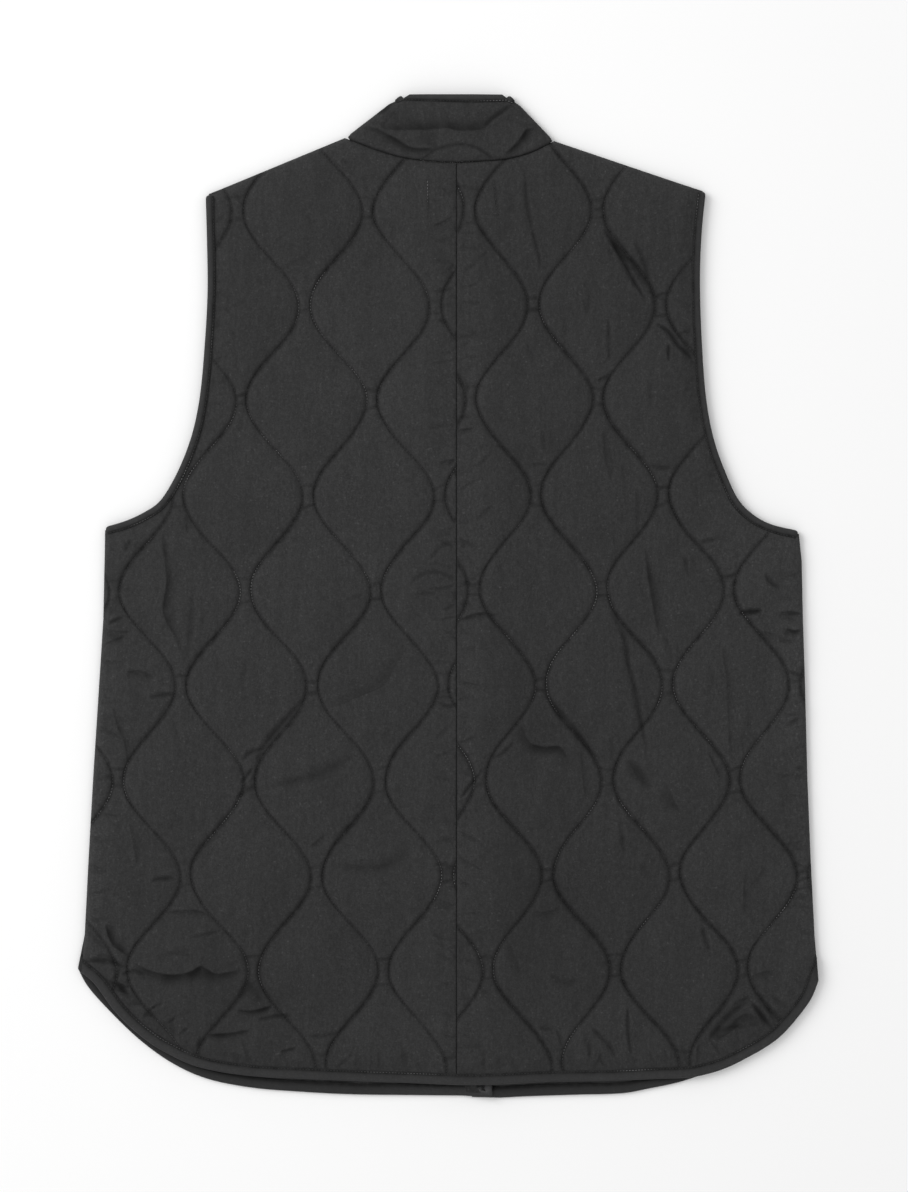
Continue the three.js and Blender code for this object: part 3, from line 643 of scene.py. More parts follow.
# The fronts are out of sight. They get creases like those of the back, read the other way round.
frontLines = [(depth, width, side, smoothLine([(-x, up - 31) for x, up in points], 16))
              for depth, width, side, points in creases[::4] if len(points) > 2]
frontSpots = np.vstack([[(*p, noLine) for far in (-2.4, -1.2, 0.0, 1.2, 2.4) for p in offsetLine(line, far)]
                        for _, _, _, line in frontLines])


# Two short rows of stitches under the neck
tacks = [np.array([(-22.7, 715.0), (-22.6, 698.0), (-22.9, 681.5)]),
         np.array([(29.1, 715.8), (30.4, 701.0), (31.9, 687.0)])]


# Meshes

def meshOf(name, points, faces, seam=None, pull=0.3, shade=0.0):
    # seam is the distance to the nearest stitch line in mm, pull how hard the cloth is drawn in there, which sets how
    # wide and dark the painted shade along the line is, and shade is painted shade, or painted light below 0
    mesh = bpy.data.meshes.new(name)
    placed = (np.asarray(points, float) + [plan["shiftX"], plan["shiftUp"], 0]) / 1000
    mesh.from_pydata(placed.tolist(), [], [list(map(int, f)) for f in faces])
    mesh.shade_smooth()
    for key, value in (("seam", 99.0 if seam is None else seam), ("pull", pull), ("shade", shade)):
        values = np.broadcast_to(np.asarray(value, np.float32), len(points))
        mesh.attributes.new(key, "FLOAT", "POINT").data.foreach_set("value", values)
    mesh.validate()
    piece = bpy.data.objects.new(name, mesh)
    bpy.context.scene.collection.objects.link(piece)
    return piece


def triangulated(ring, inner):
    count = len(ring)
    points = [Vector(p) for p in np.vstack([ring, inner])]
    loop = [(i, (i + 1) % count) for i in range(count)]
    _, _, faces, origin, _, _ = delaunay_2d_cdt(points, loop, [], 1, 1e-5)
    ids = [o[0] for o in origin]
    faces = np.array([[ids[i] for i in f] for f in faces])
    p = np.vstack([ring, inner])
    a, b, c = (p[faces[:, k]] for k in range(3))
    turned = np.cross(b - a, c - a) < 0
    faces[turned] = faces[turned][:, ::-1]
    return faces


def closedPanel(ring, shown, hidden, shownHeight, hiddenHeight, up):
    # Two faces over the same ring, joined by a wall round the edge. up is 1 where the finely
    # divided face looks up, and -1 where it looks down.
    top, bottom = triangulated(ring, shown), triangulated(ring, hidden)
    n = len(ring)
    shownPoints = np.vstack([ring, shown])
    hiddenPoints = np.vstack([ring, hidden])
    first = len(shownPoints)
    area = ring[:, 0] @ np.roll(ring[:, 1], -1) - ring[:, 1] @ np.roll(ring[:, 0], -1)
    wall = []
    for i in range(n):
        j = (i + 1) % n
        quad = [i, j, first + j, first + i]
        wall.append(quad if (area > 0) == (up < 0) else quad[::-1])
    faces = [*(top if up > 0 else top[:, ::-1]), *wall, *(first + (bottom[:, ::-1] if up > 0 else bottom))]
    points = np.vstack([np.c_[shownPoints, shownHeight(*shownPoints.T)],
                        np.c_[hiddenPoints, hiddenHeight(*hiddenPoints.T)]])
    return points, faces


# Strips of cloth or tape that bend round the edges: turn is 0 in the upper layer and pi in the lower

fold = {"radius": 1.75, "axis": 3.35, "reach": 3.35, "steps": 10}


def station(inner, outer, turn=0.0, away=(0.0, 0.0), rise=noRise):
    return np.array(inner, float), np.array(outer, float), turn, np.array(away, float), rise


def foldBetween(a, b, away):
    parts = np.linspace(0, 1, fold["steps"] + 1)[1:-1]
    return [station(a[0] + (b[0] - a[0]) * p, a[1] + (b[1] - a[1]) * p, a[2] + (b[2] - a[2]) * p, away)
            for p in parts]


def stripPoint(place, share, through, wall):
    inner, outer, turn, away, rise = place
    flat = inner + (outer - inner) * share
    radius = fold["radius"] + through * wall
    height = fold["axis"] + radius * math.cos(turn) + float(rise(flat[0], flat[1]))
    flat = flat + away * radius * math.sin(turn)
    return flat[0], flat[1], height


def loft(rings, closed):
    count = len(rings[0])
    points = np.array([p for ring in rings for p in ring])
    faces = []
    for r in range(len(rings) - (0 if closed else 1)):
        here, there = r * count, (r + 1) % len(rings) * count
        faces += [[here + k, here + (k + 1) % count, there + (k + 1) % count, there + k] for k in range(count)]
    if not closed:
        last = len(points) - count
        faces += [list(range(count))[::-1], list(range(last, last + count))]
    volume = sum(np.dot(points[f[0]], np.cross(points[f[i]], points[f[i + 1]]))
                 for f in faces for i in range(1, len(f) - 1))
    return points, faces if volume > 0 else [f[::-1] for f in faces]


# Tape folded round a cut edge, as (share of the width, share of the thickness), with the slot
# that the edge sits in
tapeSection = [
    (0.0, 0.27), (0.03, 0.4), (0.14, 0.44), (0.45, 0.5), (0.75, 0.47), (0.92, 0.33), (1.0, 0.0),
    (0.92, -0.33), (0.75, -0.47), (0.45, -0.5), (0.14, -0.44), (0.03, -0.4), (0.0, -0.27),
    (0.06, -0.2), (0.68, -0.19), (0.77, 0.0), (0.68, 0.19), (0.06, 0.2),
]


binding = {
    "stitchedAt": 0.14, "hemStitchedAt": 0.12,  # as a share of the width, from the inner edge
    "gatherStep": 5.5, "swell": 0.07, "slackStep": 16, "slack": 0.3,
    "shade": 0.9, "light": 0.5,  # painted shade where it is gathered, and painted light on the turned outer edge
}


def tapeOf(name, stations, closed, seed, shadeAt=None):
    rings, seams, shades = [], [], []
    passed = 0.0
    before = stations[0][1]
    for place in stations:
        passed += np.linalg.norm(place[1] - before)
        before = place[1]
        # the row of stitches gathers the tape here and there
        gathered = float(ripple(seed, np.array([passed / binding["gatherStep"]]))[0])
        swell = 1 - binding["swell"] * gathered
        width = np.linalg.norm(place[1] - place[0])
        slack = binding["slack"] * float(ripple(seed + 1, np.array([passed / binding["slackStep"]]))[0]) / width
        ring = []
        for share, through in tapeSection:
            outside = share < 0.05 or abs(through) > 0.3
            grown = through * (swell if outside else 1)
            moved = share - slack * (1 - share) if outside else share
            ring.append(stripPoint(place, moved, min(max(grown, -0.5), 0.53), plan["wall"]))
            seams.append(abs(share - binding["stitchedAt"]) * width if abs(through) > 0.25 else 9)
            # painted light on the turned outer edge, and painted shade near the inner edge where the stitches gather
            # the tape
            lit = binding["light"] * min(max((share - 0.35) / 0.35, 0.0), 1.0)
            shades.append(binding["shade"] * max(0.0, gathered - 0.25) * max(0.0, 1 - 2.2 * share) - lit)
        rings.append(ring)
    points, faces = loft(rings, closed)
    if shadeAt is not None:
        shades = np.array(shades) + shadeAt(points[:, 0], points[:, 1])
    return meshOf(name, points, faces, seams, 0.3, shades)


# Outlines of the cloth, and the edges of each kind

def panelEdges(half, armhole, neck, hem):
    inArm = -half["sign"] * heldBack("armholeBinding")
    arm = insetLine(armhole, inArm, half["neckLine"][-1], half["sideLine"][0])
    half["shoulder"] = np.array([neck[-1], arm[0]])
    ring = np.vstack([neck, arm, half["sideLine"], hem])
    return arm, densified(closedLine(ring), 2.0)[:-1]


def relaxed(height, level, share):
    return level + (height - level) * share


def roundedBy(edges, x, up):  # 0 on a free edge, and 1 past the rim that rounds it
    return np.sqrt(1 - (1 - np.clip(nearestOf(edges, x, up) / back["rim"], 0, 1)) ** 2)


back = {
    "puckers": 0.3, "puckerStep": 6.5, "puckerReach": 5.0,
    "uneven": 0.5, "ruffled": 0.22, "rim": 7.0, "slot": 2.15, "tacked": 10.0,
    "unevenPatch": (34, 1.7), "ruffledPatch": (9, 3.5), "looseReach": 9,  # sizes and how much taller than wide
    "neckLevel": 1.7, "seamLevel": 3.1, "seamReach": 0.8, "lowest": 0.4, "highest": 6.4, "cell": 0.9,
    "seamPull": (0.15, 0.3), "edgeLight": 0.35, "edgeReach": 9,
    "narrow": 0.4,  # how fast a puff rises with its width, as a power
    "round": 0.46,  # and across itself
}


def puckers(half, x, up):
    # Short ripples across the stitch lines, stronger between the close waves of a node
    q = quilting["lines"]
    share, width, toLeft, toRight, left, _ = quiltField(half, x, up)
    close = 1 + 1.2 * np.exp(-((width / 16) ** 2))
    total = np.zeros(len(x))
    for side, far in ((0, toLeft), (1, toRight)):
        number = left + side
        for k in range(len(q)):
            mine = number == k
            if not mine.any():
                continue
            lineX = waveX(half, q[k], up[mine])
            slope = waveX(half, q[k], up[mine] + 0.5) - waveX(half, q[k], up[mine] - 0.5)
            foot = up[mine] + (x[mine] - lineX) * slope / (1 + slope**2)
            seed = 100 + 20 * k + (half["sign"] > 0)
            gather = 0.35 + 0.65 * np.clip(ripple(seed + 7, foot / 38), 0, 1)
            total[mine] += (gather * ripple(seed, foot / back["puckerStep"])
                            * np.exp(-far[mine] / back["puckerReach"]))
    return back["puckers"] * close * total * np.clip(np.minimum(toLeft, toRight) / 1.2, 0, 1)


# Painted shade or, below 0, painted light, for broad swells, creases and the light along the edges: x, up, half
# width, half height, amount
paintedShadeAndLight = [
    (60, 290, 45, 60, 0.18), (55, 140, 60, 70, 0.28), (130, 150, 45, 60, 0.12), (70, 650, 70, 80, 0.1),
    (-120, 400, 100, 170, -0.14), (-50, 560, 60, 110, -0.14), (160, 560, 40, 60, -0.1), (-200, 60, 70, 60, 0.2),
    (226, 490, 24, 80, -0.3), (-150, 76, 17, 15, 0.3), (224, 62, 14, 10, 0.4), (288, 170, 24, 170, -0.5),
    (264, 340, 24, 110, -0.35), (243, 470, 26, 60, -0.3), (-292, 230, 22, 130, -0.3), (11, 400, 10, 420, -0.22),
    (210, 400, 50, 100, -0.12), (220, 260, 45, 90, -0.08), (-210, 330, 60, 80, -0.08), (-130, 130, 60, 50, 0.1),
]

padding = {
    "spacing": 3.2, "start": 0.6, "frames": 14, "pressure": 30.0, "spread": -0.02, "mass": 0.02,
    "stretch": 15.0, "shear": 5.0, "bending": 30.0, "kept": 0.36, "shoulder": 1.3, "offCentre": 1.5,
    "cell": 1.6, "columns": 400, "rows": 500, "leftEnd": -320,  # of the grid that keeps its heights
}


def inflated(half, ring):
    # Cloth sewn down along every line and pressed up by its padding. Returns the height in mm over
    # the stitches at any point of the plan.
    step = padding["spacing"]
    ring = densified(closedLine(ring)[::2], step)[:-1]
    heights = np.arange(0, plan["top"], 0.5)
    sewnDown = []
    for i in quilting["lines"]:
        line = np.stack([waveX(half, i, heights), heights], 1)
        sewnDown.append(evenly(line, round(lengthOf(line) / step)))
    sewnDown = np.vstack(sewnDown)
    gridUp = np.arange(0, plan["top"], step * math.sin(math.pi / 3))
    gridX, gridUp = np.meshgrid(np.arange(-plan["farSide"], plan["farSide"], step), gridUp)
    gridX = gridX + (np.arange(len(gridX)) % 2)[:, None] * step / 2
    grid = np.stack([gridX.ravel(), gridUp.ravel()], 1)
    grid = grid[toStitches(half, *grid.T) > step * 0.6]
    points = np.vstack([np.c_[sewnDown, np.ones(len(sewnDown))], np.c_[grid, np.zeros(len(grid))]])
    points = within(points[half["sign"] * points[:, 0] > padding["offCentre"]], ring, step / 2)
    flat = np.vstack([ring, points[:, :2]])
    held = np.r_[np.arange(len(ring)), len(ring) + np.flatnonzero(points[:, 2] > 0)]
    start = padding["start"] * (patches(3, flat[:, 0], flat[:, 1], 11, 1.5) + 1)
    start[held] = 0
    mesh = bpy.data.meshes.new("padding")
    mesh.from_pydata((np.c_[flat, start] / 1000).tolist(), [], triangulated(ring, points[:, :2]).tolist())
    sheet = bpy.data.objects.new("padding", mesh)
    bpy.context.scene.collection.objects.link(sheet)
    sheet.vertex_groups.new(name="sewn").add(held.tolist(), 1.0, "REPLACE")
    modifier = sheet.modifiers.new("cloth", "CLOTH")
    settings = modifier.settings
    settings.quality, settings.mass, settings.air_damping = 5, padding["mass"], 2.0
    settings.vertex_group_mass = "sewn"
    settings.tension_stiffness = settings.compression_stiffness = padding["stretch"]
    settings.shear_stiffness, settings.bending_stiffness = padding["shear"], padding["bending"]
    settings.use_pressure, settings.uniform_pressure_force = True, padding["pressure"]
    settings.shrink_min = padding["spread"]
    settings.effector_weights.gravity = 0
    modifier.collision_settings.use_collision = False
    modifier.collision_settings.use_self_collision = False
    modifier.point_cache.frame_start, modifier.point_cache.frame_end = 1, padding["frames"]
    for moment in range(1, padding["frames"] + 1):
        bpy.context.scene.frame_set(moment)
    settled = sheet.evaluated_get(bpy.context.evaluated_depsgraph_get()).data
    place = np.empty(len(settled.vertices) * 3)
    settled.vertices.foreach_get("co", place)
    x, up, height = place.reshape(-1, 3).T * 1000
    bpy.data.objects.remove(sheet)
    # spread over a fine grid, which is then read between its cells
    cell = padding["cell"]
    total, weight = np.zeros((2, padding["columns"], padding["rows"]))
    column, row = (x - padding["leftEnd"]) / cell, up / cell
    for i in range(-2, 3):
        for j in range(-2, 3):
            c, r = np.round(column).astype(int) + i, np.round(row).astype(int) + j
            near = np.exp(-((c - column) ** 2 + (r - row) ** 2) / 1.2)
            ok = (r >= 0) & (r < padding["rows"])
            np.add.at(total, (c[ok], r[ok]), (height * near)[ok])
            np.add.at(weight, (c[ok], r[ok]), near[ok])
    total /= np.maximum(weight, 1e-6)
    print(f"padding settled: {len(x)} points, up to {height.max():.1f} mm")

    def heightAt(x, up):
        column, row = (x - padding["leftEnd"]) / cell, np.clip(up / cell, 0, padding["rows"] - 2)
        c, r = np.floor(column).astype(int), np.floor(row).astype(int)
        s, t = column - c, row - r
        between = ((total[c, r] * (1 - s) + total[c + 1, r] * s) * (1 - t)
                   + (total[c, r + 1] * (1 - s) + total[c + 1, r + 1] * s) * t)
        # the grid blurs the sewn lines, so the height comes back to nothing there
        near = toStitches(half, x, up)
        steep = padding["shoulder"] * (1 - np.exp(-near / 1.3))
        return steep + padding["kept"] * np.clip(between, 0, 12) * smoothStep(near, -1.5, 3.5)

    return heightAt


def backPanel(side):
    half = halves[side]
    sign = half["sign"]
    hem = insetLine(half["backHemLine"], -sign * heldBack("hemBinding"), half["sideLine"][-1])
    neck = half["neckLine"] - [0, plan["seamGap"]]
    hem[-1, 0] = neck[0, 0] = sign * plan["seamGap"] / 2
    arm, ring = panelEdges(half, half["backArmhole"], neck, hem)
    freeEdges = [half["shoulder"], np.vstack([arm[-1:], half["sideLine"], hem[:1]])]
    slots = [(arm, plan["armholeBinding"]), (hem, plan["hemBinding"])]
    widest = 2 * half["quilting"]["pitch"] - quilting["nodeGap"]

    def edgeShares(x, up):
        rounded = roundedBy(freeEdges, x, up)
        bound = np.ones(len(x))
        inSlot = np.zeros(len(x))
        for line, width in slots:
            off = distanceTo(line, x, up)[0] - width * plan["tuck"]
            bound *= smoothStep(off, 0, back["tacked"])
            inSlot = np.maximum(inSlot, 1 - smoothStep(off, 0.5, 5))
        atNeck = smoothStep(distanceTo(neck, x, up)[0], 0, 5)
        atSeam = 1 - np.exp(-np.abs(x) / back["seamReach"])
        return rounded, bound, inSlot, atNeck, atSeam

    def shownHeight(x, up):
        share, width, toLeft, toRight, _, _ = quiltField(half, x, up)
        rounded, bound, _, atNeck, atSeam = edgeShares(x, up)
        if blown is None:
            puff = np.sin(np.pi * share) ** back["round"] * np.clip(width / widest, 0, 1) ** back["narrow"]
            height = quilting["stitched"] + (quilting["puffed"] - quilting["stitched"]) * puff
        else:
            height = quilting["stitched"] + blown(x, up)
        loose = np.clip(np.minimum(toLeft, toRight) / back["looseReach"], 0, 1)
        height += back["uneven"] * patches(5 + sign, x, up, *back["unevenPatch"]) * loose
        height += back["ruffled"] * patches(8 + sign, x, up, *back["ruffledPatch"]) * loose
        height += puckers(half, x, up) + creaseField(x, up, creaseSet)[0]
        height = relaxed(height, back["slot"], bound)
        height = relaxed(height, back["neckLevel"], atNeck)
        height = relaxed(height, back["seamLevel"], atSeam)
        height = relaxed(height, back["lowest"], rounded)
        return plan["backLevel"] + backRise(x, up) + np.clip(height, back["lowest"], back["highest"])

    def hiddenHeight(x, up):
        _, _, inSlot, _, _ = edgeShares(x, up)
        return plan["backLevel"] + backRise(x, up) + 1.0 * inSlot

    blown = inflated(half, ring)
    points = quiltPoints(half, quilting["across"], quilting["rowStep"])
    taken = set(map(tuple, np.round(creaseSpots / back["cell"]).astype(int).tolist()))
    free = np.array([tuple(p) not in taken for p in np.round(points[:, :2] / back["cell"]).astype(int).tolist()])
    points = points[free | (points[:, 2] < noLine)]
    spots = creaseSpots[toStitches(half, *creaseSpots.T) > 1.0]
    points = np.vstack([points, np.c_[spots, np.full(len(spots), noLine)]])
    points = within(points[sign * points[:, 0] > back["cell"]], ring, back["cell"])
    gridX, gridUp = np.meshgrid(np.arange(-plan["farSide"], plan["farSide"], 9.0), np.arange(0, plan["top"], 16.0))
    under = within(np.stack([gridX.ravel(), gridUp.ravel()], 1), ring, 7)
    rows, faces = closedPanel(ring, points[:, :2], under, shownHeight, hiddenHeight, 1)
    x, up = rows[:, 0], rows[:, 1]
    quilted = toStitches(half, x, up)
    plain = np.minimum(2.6 * np.abs(x), nearestOf(tacks, x, up) + 0.3)  # the centre seam is a finer line
    seam = np.minimum(plain, quilted)
    least, more = back["seamPull"]
    pull = np.where(plain < quilted, least + more * ripple(19, up / 40), pulled(half, x, up))
    # painted shade in the creases
    shade = creaseField(x, up, creaseSet)[1]
    # painted light along the free edges
    shade -= back["edgeLight"] * np.exp(-nearestOf(freeEdges, x, up) / back["edgeReach"])
    # painted shade and painted light over broad areas
    for u, v, wide, tall, amount in paintedShadeAndLight:
        shade += amount * np.exp(-(((x - u) / wide) ** 2) - ((up - v) / tall) ** 2)
    piece = meshOf(f"back_cloth_{side}", rows, faces, seam, pull, shade)
    lines = []
    for line in tacks:
        row = evenly(line, 16)
        if sign * row[0, 0] > 0:
            lines.append(np.c_[row, shownHeight(*row.T)])
    shown = rows[len(ring):len(ring) + len(points)]
    for i in quilting["lines"]:
        mine = shown[points[:, 2] == i]
        if len(mine) > 4:
            mine = mine[np.argsort(mine[:, 1])]
            breaks = np.flatnonzero(np.diff(mine[:, 1]) > 1.5 * quilting["rowStep"]) + 1
            lines += [part for part in np.split(mine, breaks) if len(part) > 3]
    print(f"{piece.name}: {len(faces)} faces")
    return piece, ring, lines


front = {
    "across": 20, "rowStep": 4.2, "corner": 151, "pull": 0.4, "groove": 0.4, "crease": 0.5, "deepest": 1.1,
    "slot": 1.05, "shownRim": 2.7, "hiddenRim": 3.1,
}


def frontPanel(side):
    half = halves[side]
    sign = half["sign"]
    inHem = heldBack("hemBinding")
    edge = insetLine(half["frontEdge"], -sign * inHem, half["sideLine"][-1])[:front["corner"] + 1]
    neckEnd = [centreFront(plan["neckInFront"]) - sign * (plan["frontLap"] / 2 - inHem),
               plan["neckInFront"] - plan["seamGap"]]
    neck = np.vstack([[neckEnd], offsetLine(half["collarBaseLine"], sign * plan["seamGap"])[::-1]])
    arm, ring = panelEdges(half, half["frontArmhole"], neck, edge)
    freeEdges = [half["shoulder"], np.vstack([arm[-1:], half["sideLine"], edge[:1]])]
    lap = np.vstack([edge, [neckEnd]])
    slots = [(arm, plan["armholeBinding"]), (lap, plan["hemBinding"])]
    rise = leftFrontRise if sign < 0 else noRise

    def edgeShares(x, up):
        rounded = roundedBy(freeEdges, x, up)
        inSlot = np.zeros(len(x))
        for line, width in slots:
            off = distanceTo(line, x, up)[0] - width * plan["tuck"]
            inSlot = np.maximum(inSlot, 1 - smoothStep(off, 0.5, 4))
        return rounded, inSlot

    def shownHeight(x, up):
        rounded, inSlot = edgeShares(x, up)
        groove = front["groove"] * np.exp(-((toStitches(half, x, up) / 2) ** 2))
        crease = front["crease"] * np.clip(-creaseField(x, up, frontLines)[0], 0, 2)
        flat = np.minimum(groove + crease, front["deepest"]) * (1 - inSlot) + front["slot"] * inSlot
        return relaxed(flat, front["shownRim"], rounded) + rise(x, up)

    def hiddenHeight(x, up):
        rounded, inSlot = edgeShares(x, up)
        return relaxed(plan["wall"] - front["slot"] * inSlot, front["hiddenRim"], rounded) + rise(x, up)

    points = quiltPoints(half, front["across"], front["rowStep"])
    points = np.vstack([points, frontSpots[sign * frontSpots[:, 0] > 12]])
    points = within(points[sign * points[:, 0] > -9], ring, 1.6)
    rows, faces = closedPanel(ring, points[:, :2], points[::3, :2], shownHeight, hiddenHeight, -1)
    x, up = rows[:, 0], rows[:, 1]
    # painted shade in the creases
    shade = creaseField(x, up, frontLines)[1]
    piece = meshOf(f"front_cloth_{side}", rows, faces, toStitches(half, x, up), front["pull"], shade)
    print(f"{piece.name}: {len(faces)} faces")
    return piece, ring


# Bindings

def armholeTape(side):
    half = halves[side]
    sign = half["sign"]
    layers = []
    for line, turn in ((half["backArmhole"], 0.0), (half["frontArmhole"], math.pi)):
        outer = evenly(line, 150, fold["reach"], fold["reach"])
        inner = offsetLine(outer, -sign * plan["armholeBinding"])
        layers.append([station(a, b, turn) for a, b in zip(inner, outer)])
    upper, lower = layers[0], layers[1][::-1]
    line = half["backArmhole"]
    underarm = foldBetween(upper[-1], lower[0], unit(line[-1] - line[-2]))
    shoulder = foldBetween(lower[-1], upper[0], unit(line[0] - line[1]))
    path = [stripPoint(place, binding["stitchedAt"], 0.5, plan["wall"]) for place in upper]
    return tapeOf(f"armhole_tape_{side}", [*upper, *underarm, *lower, *shoulder], True, 31 + sign), path


def hemTape():
    stations = []
    for half in halves.values():
        inner = insetLine(half["backHemLine"], -half["sign"] * plan["hemBinding"], half["sideLine"][-1])
        inner[-1, 0] = 0
        part = [station(a, b, 0.0, rise=backRise) for a, b in zip(inner, half["backHemLine"])]
        stations += part if half["sign"] < 0 else part[::-1][1:]
    path = [stripPoint(place, binding["hemStitchedAt"], 0.5, plan["wall"]) for place in stations]
    return tapeOf("hem_tape_back", stations, False, 41), path


hemShadow = {"least": 0.65, "reach": 2.6, "open": 1.3, "openAt": (6, 42), "pale": 2.6, "paleAt": (23, 4, 6, 3)}


def frontTape(side):
    half = halves[side]
    sign = half["sign"]
    inner = insetLine(half["frontEdge"], -sign * plan["hemBinding"], half["sideLine"][-1])
    rise = leftFrontRise if sign < 0 else noRise
    stations = [station(a, b, math.pi, rise=rise) for a, b in zip(inner, half["frontEdge"])]
    edges = np.vstack([halves["left"]["backHemLine"], halves["right"]["backHemLine"][::-1]])

    def shadeAt(x, up):
        # painted shade over the tape, deepest in the shadow of the back hem and less near the middle, and paler on
        # the turned end of the lap
        middle, wide, middleUp, tall = hemShadow["paleAt"]
        pale = np.exp(-((x - middle) / wide) ** 2 - ((up - middleUp) / tall) ** 2) if sign < 0 else 0
        middle, wide = hemShadow["openAt"]
        outside = np.exp(-(((x - middle) / wide) ** 2)) if sign < 0 else 0
        shadow = hemShadow["least"] + np.exp(-(distanceTo(edges, x, up)[0] / hemShadow["reach"]) ** 2)
        return shadow * (1 - hemShadow["open"] * outside) - hemShadow["pale"] * pale

    return tapeOf(f"front_tape_{side}", stations, False, 51 + sign, shadeAt)


# Collar: one strip from one front edge round the back to the other, pressed flat at the shoulders

collar = {
    "rows": 56, "puff": 0.8, "patch": 22, "seed": 61, "clear": 0.8, "deepest": -1.5,
    "foldShade": 1.4,  # painted crease shade reaches up to this turn round the folded edge
}
# Creases in the collar, with painted shade in them, near black in the notch on its left edge
collarCreases = [
    (2.4, 2.2, -1, [(-73.4, 757.3), (-63.6, 757), (-55.7, 752.9), (-46.6, 748.1), (-37.5, 742.4), (-29.9, 741),
                    (-15.6, 741)]),
    (2.3, 3.4, 1, [(-60.6, 763.2), (-59.6, 759.3), (-53.7, 756.4), (-38.7, 755.9), (-20.8, 756.1),
                   (-7.8, 757.4), (-0.1, 755.4), (13.1, 755.4), (22.5, 757.5), (26.5, 762.2), (33, 767.3),
    (44.1, 775)]),
    (3.2, 2.2, 1, [(59.5, 761.2), (54.9, 756.6), (51, 750.9), (45.8, 744.2), (37.4, 736.8)]),
    (-0.35, 1.3, 0, [(-27.8, 776.7), (-26.2, 765.8), (-24.7, 757.2), (-20.8, 752.5)]),
    (0.76, 4, 1, [(-30.6, 747.1), (-22.8, 744.8), (-15.2, 741.6)]),
    (3.4, 2.0, 0, [(-62.0, 768.0), (-56.5, 772.3), (-49.0, 778.0)]),
    (1.3, 1.5, 0, [(21, 758.5), (30, 765.5), (38, 771.5), (44.5, 776.5)]),
]
collarArc = [(-26.2, 733.0), (-18.4, 738.7), (-7.8, 742.6), (2.6, 744.2), (13.0, 742.6), (20.8, 738.7), (27.3, 733.5)]


def collarStations():
    left, right = halves["left"], halves["right"]
    folds = {}
    for name, half in halves.items():
        sign = half["sign"]
        slope = unit(half["tip"] - half["neckLine"][-1])
        away = np.array([sign * slope[1], -sign * slope[0]])
        start = half["neckLine"][-1] - away * fold["reach"]
        end = half["tip"] - away * fold["reach"]
        inner = meet(start, end, half["neckLine"][-1], half["neckLine"][-2])
        folds[name] = (inner, end, away)

    def clear(place, name):
        inner, end, away = folds[name]
        return min((inner - place[0]) @ away, (inner - place[1]) @ away) > collar["clear"]

    def frontPart(name, half):
        rise = leftFrontRise if half["sign"] < 0 else noRise
        stations = [station(a, b, math.pi, rise=rise)
                    for a, b in zip(half["collarBaseLine"], half["collarTopLine"])]
        stations = [s for s in stations if clear(s, name)]
        inHem = heldBack("hemBinding")
        edge = [np.array([centreFront(up) - half["sign"] * (plan["frontLap"] / 2 - inHem), up])
                for up in (plan["neckInFront"], plan["collarTopInFront"])]
        last = stations[-1]
        for part in np.linspace(0, 1, 13)[1:]:
            stations.append(station(last[0] + (edge[0] - last[0]) * part,
                                    last[1] + (edge[1] - last[1]) * part, math.pi, rise=rise))
        return stations

    def foldPart(name):
        inner, end, away = folds[name]
        upper, lower = station(inner, end, 0.0), station(inner, end, math.pi)
        return [upper, *foldBetween(upper, lower, away), lower]

    base = np.vstack([left["neckLine"][:0:-1], right["neckLine"]])
    span = base[-1, 0] - base[0, 0]
    backPart = []
    for inner in base:
        part = (inner[0] - base[0, 0]) / span
        place = station(inner, left["tip"] + (right["tip"] - left["tip"]) * part, 0.0, rise=backRise)
        if clear(place, "left") and clear(place, "right"):
            backPart.append(place)
    return [*frontPart("left", left)[::-1], *foldPart("left")[::-1], *backPart,
            *foldPart("right"), *frontPart("right", right)]


